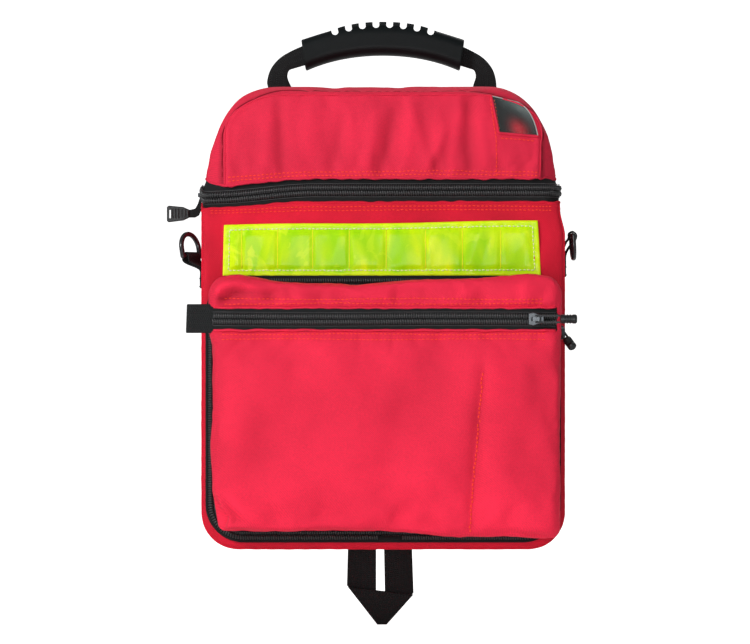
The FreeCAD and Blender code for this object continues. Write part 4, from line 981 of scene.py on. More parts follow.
# channel for the zip tape
chan = smooth01((10.6 - np.abs(Z - PZZ)) / 1.6) * smooth01((PHW + 2.0 - np.abs(X)) / 4.0)
v[:, 1] = np.where((pd < 0.1) & (chan > 0), v[:, 1] + 2.6 * chan, v[:, 1])
# wavy left edge
el = smooth01((-X - 132) / 12) * np.where(pd < 30, 1.0, 0.0) * (1 - smooth01((14 - np.abs(Z - PZZ)) / 4.0))
v[:, 0] += el * (0.55 * np.sin(Z / 21.0 + 0.7) + 0.45 * np.sin(Z / 8.3))
set_coords(pocket, v)
# painted light and shade: painted shade towards the upper left, painted light along the lower part, and painted shade
# and highlight following the folds
shade = 0.13 * smooth01((-X - 62) / 70) * smooth01((Z - 40) / 50) - 0.13 * smooth01((88 - Z) / 60)
painted_light_and_shade(pocket, np.clip((-0.022 * F - 0.035 * FF) * wf + shade, -0.2, 0.34))

subdivide(case); thick(case, 3.2)
subdivide(lid); thick(lid, 3.2)
subdivide(pocket)
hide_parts("case_front_panel", "case_back_panel", "case_gusset")
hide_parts("lid_front_panel", "window_panel", "lid_gusset", "lid_back_panel")
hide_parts("pocket_back_panel", "pocket_gusset", "pocket_front_panel", "pocket_top_panel", "pocket_inner_sleeve")
for o, b in ((case, "case"), (lid, "lid"), (pocket, "pocket")):
    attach(o, b)
T_CASE, T_LID, T_POC = tree(case), tree(lid), tree(pocket)

# ------------------------------------------------------------------ seams and fabric lips
def snap(t, pts, out=0.0, towards=None):
    """Nearest surface point for each mm point, moved outwards by out mm. Returns points and normals."""
    o, nr = [], []
    for p in np.asarray(pts, float):
        hit, n, _, _ = t.find_nearest(Vector(p * 0.001))
        h, n = np.array(hit) * 1000.0, np.array(n)
        if towards is not None and n @ towards(p) < 0:
            n = -n
        o.append(h + n * out)
        nr.append(n)
    return np.array(o), np.array(nr)


def away(c):
    c = np.asarray(c, float)
    return lambda p: np.asarray(p) - c


OUT_CASE, OUT_LID, OUT_POC = away((0, 0, 150)), away((0, 0, 340)), away((0, -84, 120))
lf = [float(a) for a in lid_prof(np.array(0.0))]
lb = [float(a) for a in lid_prof(np.array(60.0))]
rng = np.random.default_rng(5)

# lid: turned seam between the front and the gusset, and at the back
seam = Bits()
p = dense(at_y(outline(*lf, open_bottom=True), YF + 1.0), 1.6)
p, nr = snap(T_LID, p, 0.15, OUT_LID)
p += waves(p, 9, 31)[:, None] * nr * 0.22
tube(seam, p, 0.85 + 0.12 * waves(p, 6, 32), sides=8)
pb = dense(at_y(outline(*lb, open_bottom=True, inset=1.2), YB - 1.2), 1.8)
pb, nb = snap(T_LID, pb, 0.1, OUT_LID)
tube(seam, pb, 1.0, sides=8)
lid_seam = seam.make("lid_seams", M_LID)
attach(lid_seam, "lid")

seam = Bits()
cf = case_prof(0)
for yy, inset in ((YF + 3.8, 0.4), (YB - 3.2, 0.4)):
    p = dense(at_y(outline(*cf, open_top=True, inset=inset), yy), 2.0)
    p, nr = snap(T_CASE, p, 0.05, OUT_CASE)
    tube(seam, p, 1.0 + 0.08 * waves(p, 8, 33), sides=8)
case_seam = seam.make("case_seams", M_CASE)
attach(case_seam, "case")


def u_path(off, z, y_end=52.0, r=16.0, n=14, hw=CHW):
    """Plan path round the front and sides, from the left rear to the right rear."""
    x, y0, rr = hw + off, YF - off, r + off
    th = np.linspace(0, np.pi / 2, n)
    a = np.stack([-(x - rr) - rr * np.cos(th), y0 + rr - rr * np.sin(th)], -1)
    b = np.stack([(x - rr) + rr * np.sin(th), y0 + rr - rr * np.cos(th)], -1)
    pl = np.vstack([[[-x, y_end]], a, b, [[x, y_end]]])
    return np.stack([pl[:, 0], pl[:, 1], np.full(len(pl), z)], -1)


def plan_normals(p):
    t = unit(np.gradient(p, axis=0))
    return unit(np.stack([t[:, 1], -t[:, 0], np.zeros(len(t))], -1))


# rolled fabric edges along the lid zip
lips = Bits()
p = dense(u_path(0.1, CTOP - 0.2, r=9.0), 1.5)
nrm = plan_normals(p)
p[:, 2] += 0.35 * waves(p, 11, 41) - 0.1
tube(lips, p - nrm * 0.9, 1.15 + 0.1 * waves(p, 7, 42), nrm=nrm, sides=8)
lip = lips.make("case_zip_edge", M_CASE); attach(lip, "case")
lips = Bits()
# the lid's plan narrows to its front panel, so its edge follows the lid shell
p = dense(u_path(0.1, LBOT + 1.0, r=24.0, hw=LHW), 1.5)
p, nrm = snap(T_LID, p, 0.0, lambda q: np.array([q[0] * 0.4, q[1] * 1.0 - 0.0, 0.0]))
nrm[:, 2] = 0.0; nrm = unit(nrm)
p[:, 2] = LBOT + 0.4 + 0.55 * waves(p, 10, 43) + 0.30 * np.sin(p[:, 0] / 2.9) * smooth01((p[:, 0] + 60) / 40)
tube(lips, p - nrm * 0.7, 1.25 + 0.15 * waves(p, 7, 44), nrm=nrm, sides=8)
lip = lips.make("lid_zip_edge", M_LID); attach(lip, "lid")

# ------------------------------------------------------------------ painted shadow line: a thin dark red tube in the seam round the lid's front
v, n = coords(lid), normals(lid)
lev = np.unique(np.round(ld, 3))
on = (np.abs(ld - lev[np.argmin(np.abs(lev - 4.0))]) < 0.01) & (v[:, 2] > LBOT + 5)
on = np.nonzero(on)[0][np.argsort(np.arctan2(v[on, 2] - LBOT + 30, v[on, 0]))]
p = dense(v[on] + n[on] * 0.05, 1.5)
shadow_tube = Bits()
tube(shadow_tube, p, 0.55, sides=8)
o = shadow_tube.make("lid_seam_shadow_line", M_SEAM_SHADOW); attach(o, "lid")

# ------------------------------------------------------------------ lid zip
def lid_tape(name, path, nrm, rows=9):
    """Upper half of the lid zip's tape. Its top edge follows the lid, which narrows to its front."""
    top, tn = snap(T_LID, path + np.array([0, 0, 11.5]) - nrm * 2.0, -0.9, OUT_LID)
    k = np.ones(15) / 15.0
    top = np.stack([np.convolve(np.pad(top[:, i], 7, mode="edge"), k, mode="valid") for i in range(3)], -1)
    top[:, 2] = LBOT + 2.2
    low = path
    f = np.linspace(0, 1, rows)
    e = smooth01(f) * 0.6 + f * 0.4
    g = low[:, None, :] * (1 - e)[None, :, None] + top[:, None, :] * e[None, :, None]
    g[:, :, 2] = low[:, None, 2] * (1 - f)[None] + top[:, None, 2] * f[None]
    s = np.concatenate([[0], np.cumsum(np.linalg.norm(np.diff(path, axis=0), axis=1))])
    o = grid_obj(name, g, M_TAPE, uv=np.stack(np.broadcast_arrays(s[:, None], f[None] * 11), -1), flip=False)
    return thick(o, 0.7, 0.0)


zp = dense(u_path(-0.75, ZZ), 1.5)
zn = plan_normals(zp)
zp_l = zp.copy()
up_side = 1 if np.cross(unit(zp[200] - zp[199]), zn[199])[2] > 0 else -1
lower = tape_strip("case_zip_tape_band", zp, zn, -up_side, 0.0, 12.4, M_TAPE, sag=1.1)
upper = lid_tape("lid_zip_tape_band", zp, zn)
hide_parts("case_zip_tape"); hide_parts("lid_zip_tape")
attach(lower, "case"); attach(upper, "lid")
ca, cb = Bits(), Bits()
coil(ca, zp, zn, -up_side, lo=0.05)
coil(cb, zp, zn, up_side, lo=0.05, phase=0.5)
o = ca.make("case_zip_teeth", M_COIL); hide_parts("case_zip_coil"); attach(o, "case")
o = cb.make("lid_zip_teeth", M_COIL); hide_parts("lid_zip_coil"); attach(o, "lid")


def cords(bits, path, nrm, side, offs, r=0.28, h=0.9):
    """Sewing threads that hold the coil to its tape."""
    q, t = resample(path, 1.5)
    if np.ndim(nrm) == 1:
        n = np.repeat(np.asarray(nrm, float)[None], len(q), 0)
    else:
        near = np.argmin(((q[:, None, :] - np.asarray(path)[None]) ** 2).sum(-1), 1)
        n = unit(np.asarray(nrm)[near])
    b = unit(np.cross(t, n)) * side
    for a in offs:
        tube(bits, q + b * a + n * h, r, sides=6, nrm=n)


ta, tb = Bits(), Bits()
for a in (2.4, 5.6):
    hh = 2.45 if a < 3 else 0.55
    cords(ta, zp, zn, -up_side, [a], h=hh)
    cords(tb, zp, zn, up_side, [a], h=hh)
o = ta.make("case_zip_threads", M_THREAD_K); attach(o, "case")
o = tb.make("lid_zip_threads", M_THREAD_K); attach(o, "lid")

# ------------------------------------------------------------------ pocket zip
zx = np.linspace(2.6 - PHW, PHW - 0.8, 260)
zp, _ = cast(T_POC, np.stack([zx, np.full_like(zx, PYF - 50.0), np.full_like(zx, PZZ)], -1), (0, 1, 0), back=0.0)
zp[:, 1] = np.where(np.abs(zx) < 134, PYF + 0.3, np.maximum(zp[:, 1] - 0.5, PYF + 0.3))
zp[:, 1] = np.convolve(np.pad(zp[:, 1], 6, mode="edge"), np.ones(13) / 13.0, mode="valid")
zp[:, 2] += 0.25 * np.sin(zx / 37.0)
zn = np.array([0, -1.0, 0])
ups = 1 if np.cross(np.array([1, 0, 0]), zn)[2] > 0 else -1
o = tape_strip("pocket_zip_tape_low", zp, zn, -ups, 0.0, 9.9, M_TAPE, sag=-0.25, lift=-0.1, t=0.6)
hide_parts("pocket_zip_tape_lower"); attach(o, "pocket")
o = tape_strip("pocket_zip_tape_up", zp, zn, ups, 0.0, 9.9, M_TAPE, sag=-0.25, lift=-0.1, t=0.6)
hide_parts("pocket_zip_tape_upper"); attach(o, "pocket")
ca = Bits(); coil(ca, zp, zn, -ups, lo=0.05, hi=4.9, h=1.95)
o = ca.make("pocket_zip_teeth_low", M_COIL2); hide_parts("pocket_zip_coil_lower"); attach(o, "pocket")
ca = Bits(); coil(ca, zp, zn, ups, lo=0.05, hi=4.9, h=1.95, phase=0.5)
o = ca.make("pocket_zip_teeth_up", M_COIL2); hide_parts("pocket_zip_coil_upper"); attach(o, "pocket")
ta = Bits()
for sd in (-1, 1):
    cords(ta, zp, zn, sd, [2.5], h=2.6)
    cords(ta, zp, zn, sd, [5.7], h=0.7)
o = ta.make("pocket_zip_threads", M_THREAD_K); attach(o, "pocket")
# rolled fabric edges above and below the tape
lips = Bits()
for zz, s0 in ((PZZ + 9.5, 51), (PZZ - 9.5, 52)):
    p = np.stack([np.linspace(4.0 - PHW, PHW - 2.0, 200), np.full(200, PYF - 26.0), np.full(200, zz)], -1)
    p[:, 2] += 0.30 * waves(p, 14, s0)
    p, nr = cast(T_POC, p, (0, 1, 0))
    p[:, 1] = np.where(np.abs(p[:, 0]) < 136, np.minimum(p[:, 1], PYF + 0.4), p[:, 1])
    tube(lips, p + np.array([0, -0.35, 0]), 1.05 + 0.10 * waves(p, 8, s0 + 5), sides=8)
o = lips.make("pocket_zip_edges", M_POCKET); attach(o, "pocket")

# ------------------------------------------------------------------ perimeter zip
ring = at_y(outline(RHW, RZ0, RZ1, 26, 26, 26, 26), RY)
ring = dense(ring, 1.5, closed=True)
zn = np.array([0, -1.0, 0])
cen = np.array([0, RY, (RZ0 + RZ1) / 2])
tt = unit(np.roll(ring, -1, 0) - np.roll(ring, 1, 0))
bside = 1 if (np.cross(tt[0], zn) @ (ring[0] - cen)) > 0 else -1
o = tape_strip("front_zip_tape_outer", ring, zn, bside, 0.0, 6.7, M_TAPE, closed=True, sag=0.0, lift=0.2, t=0.8, rows=5)
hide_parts("front_zip_tape_case"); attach(o, "case")
o = tape_strip("front_zip_tape_inner", ring, zn, -bside, 0.0, 14.0, M_TAPE, closed=True, sag=0.0, lift=0.2, t=0.8, rows=5)
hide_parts("front_zip_tape_pocket"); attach(o, "pocket")
ca = Bits(); coil(ca, ring, zn, bside, closed=True, lo=0.05, hi=4.3, h=2.1, r=0.8)
o = ca.make("front_zip_teeth_outer", M_COIL2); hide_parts("front_zip_coil_case"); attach(o, "case")
ca = Bits(); coil(ca, ring, zn, -bside, closed=True, lo=0.05, hi=4.3, h=2.1, r=0.8, phase=0.5)
o = ca.make("front_zip_teeth_inner", M_COIL2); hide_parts("front_zip_coil_pocket"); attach(o, "pocket")

# ------------------------------------------------------------------ reflective strip
nu, nv = 182, 32
uu, vv = np.meshgrid(np.linspace(0, 1, nu), np.linspace(0, 1, nv), indexing="ij")
TL, TR, BL, BR = [spot(B_STR, *f) for f in ((0.004, 0.92), (0.991, 0.996), (0.0, 0.008), (1.0, 0.008))]
sx = (TL[0] * (1 - uu) + TR[0] * uu) * vv + (BL[0] * (1 - uu) + BR[0] * uu) * (1 - vv)
sz = (TL[1] * (1 - uu) + TR[1] * uu) * vv + (BL[1] * (1 - uu) + BR[1] * uu) * (1 - vv)
sz += 0.5 * np.sin(uu * 9) * vv
WELDS = [spot(B_STR, f, 0)[0] for f in (0.06, 0.173, 0.283, 0.398, 0.514, 0.638, 0.754, 0.874)]
hgt = np.zeros_like(sx)
eb = np.minimum(np.minimum(uu * 271, (1 - uu) * 271), np.minimum(vv * 47, (1 - vv) * 47))
hgt += 0.9 * smooth01((eb - 5.2) / 5.0)
hgt -= 0.45 * np.exp(-((eb - 5.0) / 0.9) ** 2)
for wx in WELDS:
    hgt -= 0.75 * np.exp(-((sx - wx) / 1.5) ** 2) * smooth01((eb - 4.5) / 3)
hgt += 0.40 * waves(np.stack([sx, sz * 0.5, 0 * sx], -1).reshape(-1, 3), 24, 61).reshape(sx.shape) * smooth01((eb - 4) / 6)
hgt += 0.18 * waves(np.stack([sx, sz, 0 * sx], -1).reshape(-1, 3), 9, 62).reshape(sx.shape) * smooth01((8 - eb) / 4)
base = np.full_like(sx, B_STR[0][1] - 0.25)
g = np.stack([sx, base - hgt, sz], -1)
o = grid_obj("reflective_band", g, M_REFL, uv=np.stack([uu * 271.5, vv * 47.0], -1))
thick(o, 0.7, -1.0)
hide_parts("reflective_strip"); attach(o, "case")
T_STR = tree(o)
wb = Bits()
for wx in WELDS:
    p = np.stack([np.full(24, wx), np.full(24, -80.0), np.linspace(B_STR[0][2] + 6.4, B_STR[1][2] - 8.0, 24)], -1)
    p, nr = cast(T_STR, p, (0, 1, 0))
    tube(wb, p + nr * 0.02, 0.36, sides=6)
o = wb.make("reflective_welds", M_WELD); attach(o, "case")
st = Bits()
bord = np.array([[5, 4.8], [266.5, 4.8], [266.5, 42.2], [5, 42.2], [5, 4.8]])
for k in range(4):
    a, b = bord[k], bord[k + 1]
    m = 200 if k % 2 == 0 else 40
    s = np.linspace(0, 1, m)
    U, W = (a[0] + (b[0] - a[0]) * s) / 271.5, (a[1] + (b[1] - a[1]) * s) / 47.0
    xx = (TL[0] * (1 - U) + TR[0] * U) * W + (BL[0] * (1 - U) + BR[0] * U) * (1 - W)
    zz = (TL[1] * (1 - U) + TR[1] * U) * W + (BL[1] * (1 - U) + BR[1] * U) * (1 - W) + 0.5 * np.sin(U * 9) * W
    p, nr = cast(T_STR, np.stack([xx, np.full(m, -80.0), zz], -1), (0, 1, 0))
    stitches(st, p, nr, length=2.6, gap=0.9, r=0.45, lift=0.18, seed=70 + k)
o = st.make("reflective_stitching", M_THREAD_W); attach(o, "case")

# ------------------------------------------------------------------ top-stitching on the fabric
def stitch_line(bits, t, pts2, box, seed, direction=(0, 1, 0), y0=-140.0, **kw):
    """Stitches along a polyline given as fractions of a node's box."""
    a = np.array([spot(box, x, z) for x, z in pts2])
    p = dense(np.stack([a[:, 0], np.full(len(a), y0), a[:, 1]], -1), 2.0)
    p, nr = cast(t, p, direction, back=0.0)
    stitches(bits, p, nr, seed=seed, **kw)


st = Bits()
# lid: two rows above the zip, the window patch's seam, and the line under the window
th = np.linspace(-133, 133, 220)
for zz, sd in ((LBOT + 6.0, 81), (LBOT + 3.0, 82)):
    p = np.stack([th, np.full_like(th, -140.0), zz + 0.5 * np.sin(th / 31.0) + 0.3 * np.sin(th / 3.1) * smooth01((th + 30) / 40)], -1)
    p, nr = cast(T_LID, p, (0, 1, 0), back=0.0)
    stitches(st, p, nr, seed=sd)
stitch_line(st, T_LID, [(0.799, 0.885), (0.806, 0.657), (0.815, 0.417), (0.817, 0.004)], B_LID, 83)
stitch_line(st, T_LID, [(0.824, 0.434), (0.882, 0.423), (0.926, 0.406)], B_LID, 84)
stitch_line(st, T_LID, [(0.809, 0.875), (0.824, 0.515)], B_LID, 85, length=2.0)
# gusset stitches along the zip, on both sides
for sx in (-1, 1):
    yy = np.linspace(-36, 50, 60)
    p = np.stack([np.full_like(yy, sx * 200.0), yy, np.full_like(yy, LBOT + 3.9)], -1)
    p, nr = cast(T_LID, p, (-sx, 0, 0), back=0.0)
    stitches(st, p, nr, seed=86 + sx)
# lid back: two rows by the hinge
for zz in (LBOT + 4.4, LBOT + 7.4):
    p = np.stack([np.linspace(-146, 146, 180), np.full(180, 140.0), np.full(180, zz)], -1)
    p, nr = cast(T_LID, p, (0, -1, 0), back=0.0)
    stitches(st, p, nr, seed=int(zz))
o = st.make("lid_stitching", M_THREAD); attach(o, "lid")

st = Bits()
th = np.linspace(-148, 148, 240)
for zz, sd in ((CTOP - 6.8, 91), (CTOP - 3.6, 92)):
    p = np.stack([th, np.full_like(th, -140.0), zz + 0.4 * np.sin(th / 40.0)], -1)
    p, nr = cast(T_CASE, p, (0, 1, 0), back=0.0)
    stitches(st, p, nr, seed=sd)
for sx in (-1, 1):
    yy = np.linspace(-50, 52, 70)
    p = np.stack([np.full_like(yy, sx * 200.0), yy, np.full_like(yy, CTOP - 5.4)], -1)
    p, nr = cast(T_CASE, p, (-sx, 0, 0), back=0.0)
    stitches(st, p, nr, seed=94 + sx)
# back panel: border stitching and two quilting channels
p = dense(at_y(outline(*cf, open_top=True, inset=9.0), 140.0), 2.0)
p, nr = cast(T_CASE, p, (0, -1, 0), back=0.0)
stitches(st, p, nr, seed=97)
for zz in (CTOP - 9.4, CTOP - 6.4):
    p = np.stack([np.linspace(-147, 147, 180), np.full(180, 140.0), np.full(180, zz)], -1)
    p, nr = cast(T_CASE, p, (0, -1, 0), back=0.0)
    stitches(st, p, nr, seed=int(zz))
o = st.make("case_stitching", M_THREAD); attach(o, "case")

st = Bits()
for zz, sd in ((PZZ + 16.8, 101), (PZZ + 12.9, 102), (PZZ - 12.8, 103), (PZZ - 16.9, 104)):
    w = PHW - (12.5 if zz > PZZ else 10.5)
    th = np.linspace(-w, w, 220)
    p = np.stack([th, np.full_like(th, -160.0), zz + 0.45 * np.sin(th / 26.0 + zz)], -1)
    p, nr = cast(T_POC, p, (0, 1, 0), back=0.0)
    stitches(st, p, nr, seed=sd)
stitch_line(st, T_POC, [(0.784, 0.645), (0.78, 0.551), (0.771, 0.433), (0.76, 0.257), (0.752, 0.12), (0.748, 0.006)], B_POC, 105, y0=-160.0, jitter=0.40, r=0.60)
o = st.make("pocket_stitching", M_THREAD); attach(o, "pocket")

# ------------------------------------------------------------------ lid window
WQ = [spot(B_WIN, *f) for f in ((0.034, 1.2), (0.61, 1.038), (1.065, 0.088), (0.198, 0.171))]     # upper left, upper right, lower right, lower left
WB = spot(B_WIN, 0.899, 0.694)


def window_grid(scale, lift, n=26):
    q = np.array(WQ)
    c = q.mean(0)
    q = c + (q - c) * scale
    mid = c + (np.array(WB) - c) * scale
    u, w = np.meshgrid(np.linspace(0, 1, n), np.linspace(0, 1, n), indexing="ij")
    top = q[0][None] * (1 - u[..., None]) + q[1][None] * u[..., None]
    bot = q[3][None] * (1 - u[..., None]) + q[2][None] * u[..., None]
    g = bot * (1 - w[..., None]) + top * w[..., None]
    bulge = mid - (q[1] + q[2]) / 2
    g = g + bulge[None, None] * (4 * w * (1 - w) * u ** 3)[..., None]
    p = np.stack([g[..., 0], np.full(u.shape, -160.0), g[..., 1]], -1)
    s, nr = cast(T_LID, p.reshape(-1, 3), (0, 1, 0), back=0.0)
    nr = np.array([0, -1.0, 0])
    return (s + nr * lift).reshape(n, n, 3), np.stack([u, w], -1)


g, uv = window_grid(0.97, 0.5)
o = grid_obj("window_card", g, M_WIN, uv=uv)
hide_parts("window_insert"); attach(o, "lid")
g, uv = window_grid(1.0, 0.95)
g[..., 1] -= 0.35 * np.sin(uv[..., 0] * 5) * uv[..., 1]
o = grid_obj("window_film", g, M_FILM, uv=uv)
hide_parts("clear_window"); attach(o, "lid")
rim = Bits()
gw, _ = window_grid(1.02, 0.7, n=40)
tube(rim, np.vstack([gw[:, 0, :][::-1]]), 1.15, sides=8)       # lower edge
tube(rim, gw[0, :, :], 0.95, sides=8)                            # left edge
o = rim.make("window_fabric_edge", M_LID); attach(o, "lid")
M_RIM = plastic("film_edge", (0.42, 0.44, 0.43), rough=0.25, grain=0.1)
rim = Bits()
gw, _ = window_grid(0.995, 1.15, n=40)
tube(rim, gw[:, -1, :], 0.42, sides=6)
tube(rim, gw[-1, :, :], 0.42, sides=6)
o = rim.make("window_film_edge", M_RIM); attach(o, "lid")

# ------------------------------------------------------------------ handle
def hnd(l):
    """Half widths and heights as fractions of the handle's box."""
    return [(x * float(B_HND[1][0]), float(B_HND[0][2] + z * (B_HND[1][2] - B_HND[0][2]))) for x, z in l]


outer_r = hnd([(0.994, 0), (0.999, 0.18), (0.965, 0.419), (0.886, 0.595), (0.784, 0.71), (0.686, 0.792), (0.47, 0.905), (0.235, 0.975), (0, 1)])
inner_r = hnd([(0.774, 0), (0.795, 0.18), (0.815, 0.322), (0.801, 0.399), (0.749, 0.435), (0.666, 0.481), (0.47, 0.587), (0.235, 0.668), (0, 0.696)])
nn = 180
fo = catmull([(-x, z) for x, z in outer_r] + [(x, z) for x, z in outer_r[-2::-1]], nn)
fi = catmull([(-x, z) for x, z in inner_r] + [(x, z) for x, z in inner_r[-2::-1]], nn)
# the left leg stands out a little more than the right one
for f_ in (fo, fi):
    f_[:, 0] -= 2.2 * smooth01((-f_[:, 0] - 40) / 45) * smooth01((f_[:, 1] - B_HND[0][2] - 3) / 10)
c2 = (fo + fi) / 2
ac = fo - fi
wd = np.linalg.norm(ac, axis=1)
YH = float(B_HND[0][1] + B_HND[1][1]) / 2
cen3 = np.stack([c2[:, 0], np.full(nn, YH), c2[:, 1]], -1)
acr = np.stack([ac[:, 0], np.zeros(nn), ac[:, 1]], -1)
o = strap("handle_strap", cen3, acr, wd, M_WEB, t=2.0)
subdivide(o)
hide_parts("handle_webbing"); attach(o, "handle")
# sewn tails on the lid's back, and the short bend between tail and handle
parts_t, cross = [], Bits()
B_ANC = bx("handle_anchors")
for i, xc in enumerate((B_ANC[0][0] + 12.5, B_ANC[1][0] - 12.5)):
    zz = np.linspace(B_ANC[0][2], B_ANC[1][2] - 0.2, 60)
    c = np.stack([np.full(60, xc), np.full(60, YB + 1.15), zz], -1)
    o = strap("handle_tail_%d" % i, c, np.tile([1.0, 0, 0], (60, 1)), 25.0, M_WEB, t=1.9)
    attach(o, "lid")
    if i == 0:
        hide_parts("handle_anchors")
    zz = np.linspace(B_HND[0][2] - 6.8, B_HND[0][2] + 7.7, 16)
    c = np.stack([np.full(16, xc), np.full(16, YH), zz], -1)
    hb = strap("handle_bend_%d" % i, c, np.tile([1.0, 0, 0], (16, 1)), 25.3, M_WEB, t=2.5, uv0=61)
    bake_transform(hb)
    x0, x1, z0, z1 = xc - 10, xc + 10, B_ANC[0][2] + 4.0, B_ANC[0][2] + 28.0
    for a, b in (((x0, z0), (x1, z0)), ((x1, z0), (x1, z1)), ((x1, z1), (x0, z1)), ((x0, z1), (x0, z0)), ((x0, z0), (x1, z1)), ((x1, z0), (x0, z1))):
        p = dense(np.array([[a[0], 62.15, a[1]], [b[0], 62.15, b[1]]]), 1.5)
        stitches(cross, p, np.array([0, 1.0, 0]), seed=int(110 + a[0] + b[1]))
o = cross.make("handle_tail_stitching", M_THREAD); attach(o, "lid")

# ------------------------------------------------------------------ fabric hinge at the back
HR, HY = 6.0, YB + 0.75
hz = np.linspace(CTOP - 3.9, LBOT + 3.4, 26)
hw = CHW + 0.75 - (CHW - LHW) * smooth01((hz - CTOP) / (LBOT - CTOP))
sy = np.linspace(48.5, HY - HR, 8)
ph = np.linspace(0, np.pi / 2, 9)[1:-1]
inx = np.concatenate([-2.6 * (1 - smooth01((sy - 50.5) / 4)), HR * np.cos(ph) - HR])
iny = np.concatenate([sy, HY - HR + HR * np.sin(ph)])
half = np.stack([np.repeat(inx[:, None], len(hz), 1) + hw[None], np.repeat(iny[:, None], len(hz), 1)], -1)
bu = np.linspace(-1, 1, 130)
xb = bu[:, None] * (hw - HR)[None]
yb = HY + 0.75 * np.exp(-((hz - ZZ) / 6.0) ** 2)[None] * smooth01((1 - np.abs(bu)) / 0.06)[:, None]
yb = yb + 0.12 * waves(np.stack([xb, xb * 0, np.repeat(hz[None], 130, 0)], -1).reshape(-1, 3), 14, 121).reshape(xb.shape)
gx = np.concatenate([-half[:, :, 0], xb, half[::-1, :, 0]])
gy = np.concatenate([half[:, :, 1], yb, half[::-1, :, 1]])
g = np.stack([gx, gy, np.repeat(hz[None], len(gx), 0)], -1)
o = grid_obj("lid_hinge_fabric", g, M_LID, flip=True)
thick(o, 2.4, -0.6)
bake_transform(o)
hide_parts("lid_hinge_binding")
st = Bits()
for zz in (CTOP - 1.9, CTOP + 1.1):
    p = np.stack([np.linspace(-148, 148, 150), np.full(150, 61.25), np.full(150, zz)], -1)
    stitches(st, p, np.array([0, 1.0, 0]), seed=int(zz))
o = st.make("hinge_stitching_low", M_THREAD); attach(o, "case")
st = Bits()
p = np.stack([np.linspace(-148, 148, 150), np.full(150, 61.25), np.full(150, LBOT + 1.2)], -1)
stitches(st, p, np.array([0, 1.0, 0]), seed=131)
o = st.make("hinge_stitching_up", M_THREAD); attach(o, "lid")

# ------------------------------------------------------------------ lower webbing loop
def strip4(name, a0, a1, b0, b1, y, t, mat, n=40, bow=0.0, w=None):
    """Webbing whose two edges run a0-a1 and b0-b1 (XZ)."""
    s = np.linspace(0, 1, n)[:, None]
    A = np.array(a0) * (1 - s) + np.array(a1) * s
    B = np.array(b0) * (1 - s) + np.array(b1) * s
    c = (A + B) / 2
    d = B - A
    c3 = np.stack([c[:, 0], y + bow * np.sin(np.pi * s[:, 0]), c[:, 1]], -1)
    return strap(name, c3, np.stack([d[:, 0], 0 * d[:, 0], d[:, 1]], -1), np.linalg.norm(d, axis=1), mat, t=t)


def loop4(name, a0, a1, b0, b1, y, t, mat, **kw):
    """strip4 with its corners as fractions of the loop's box."""
    return strip4(name, *[spot(B_LOOP, *p) for p in (a0, a1, b0, b1)], y, t, mat, **kw)


loops = [
    loop4("loop_strap_left", (0.017, 1.008), (0.0, 0.47), (0.437, 1.008), (0.437, 0.03), 63.6, 1.7, M_WEB, bow=0.8),
    loop4("loop_strap_right", (0.553, 1.008), (0.575, 0.03), (0.97, 1.008), (0.997, 0.38), 63.6, 1.7, M_WEB, bow=0.8),
    loop4("loop_cross", (0.012, 0.455), (0.995, 0.362), (0.455, 0.001), (0.592, 0.001), 61.9, 1.6, M_WEB),
]
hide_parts("lower_webbing_loop")
for o in loops:
    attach(o, "hang_loop")
B_LA, B_LP = bx("loop_anchor"), bx("loop_anchor_patch")
for i, (x0, x1) in enumerate(((B_LA[0][0], B_LA[0][0] + 25.0), (B_LA[1][0] - 25.0, B_LA[1][0]))):
    o = strip4("loop_anchor_%d" % i, (x0, B_LA[1][2]), (x0, B_LA[0][2]), (x1, B_LA[1][2]), (x1, B_LA[0][2]), YB + 1.3, 1.9, M_WEB, n=40)
    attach(o, "case")
    if i == 0:
        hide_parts("loop_anchor")
    o = strip4("loop_bend_%d" % i, (x0 - 0.1, 3.5), (x0 - 0.1, -6.5), (x1 + 0.1, 3.5), (x1 + 0.1, -6.5), 62.4, 2.3, M_WEB, n=14, bow=0.4)
    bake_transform(o)
xg, zg = np.meshgrid(np.linspace(B_LP[0][0], B_LP[1][0], 40), np.linspace(B_LP[0][2], B_LP[1][2], 22), indexing="ij")
eb = np.minimum(np.minimum(xg - B_LP[0][0], B_LP[1][0] - xg), np.minimum(zg - B_LP[0][2], B_LP[1][2] - zg))
g = np.stack([xg, YB + 2.6 + 1.0 * smooth01(eb / 2.2) - 0.3 * np.exp(-((eb - 3.2) / 0.8) ** 2), zg], -1)
o = grid_obj("loop_anchor_cover", g, M_CASE, flip=True); thick(o, 0.9, -1.0)
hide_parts("loop_anchor_patch"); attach(o, "case")
st = Bits()
for a, b in (((-31.3, 9.2), (26.3, 9.2)), ((26.3, 9.2), (26.3, 34.8)), ((26.3, 34.8), (-31.3, 34.8)), ((-31.3, 34.8), (-31.3, 9.2)), ((-31.3, 9.2), (26.3, 34.8)), ((26.3, 9.2), (-31.3, 34.8))):
    p = dense(np.array([[a[0], 63.6, a[1]], [b[0], 63.6, b[1]]]), 1.5)
    stitches(st, p, np.array([0, 1.0, 0]), seed=int(140 + a[0] + b[1]))
o = st.make("loop_anchor_stitching", M_THREAD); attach(o, "case")

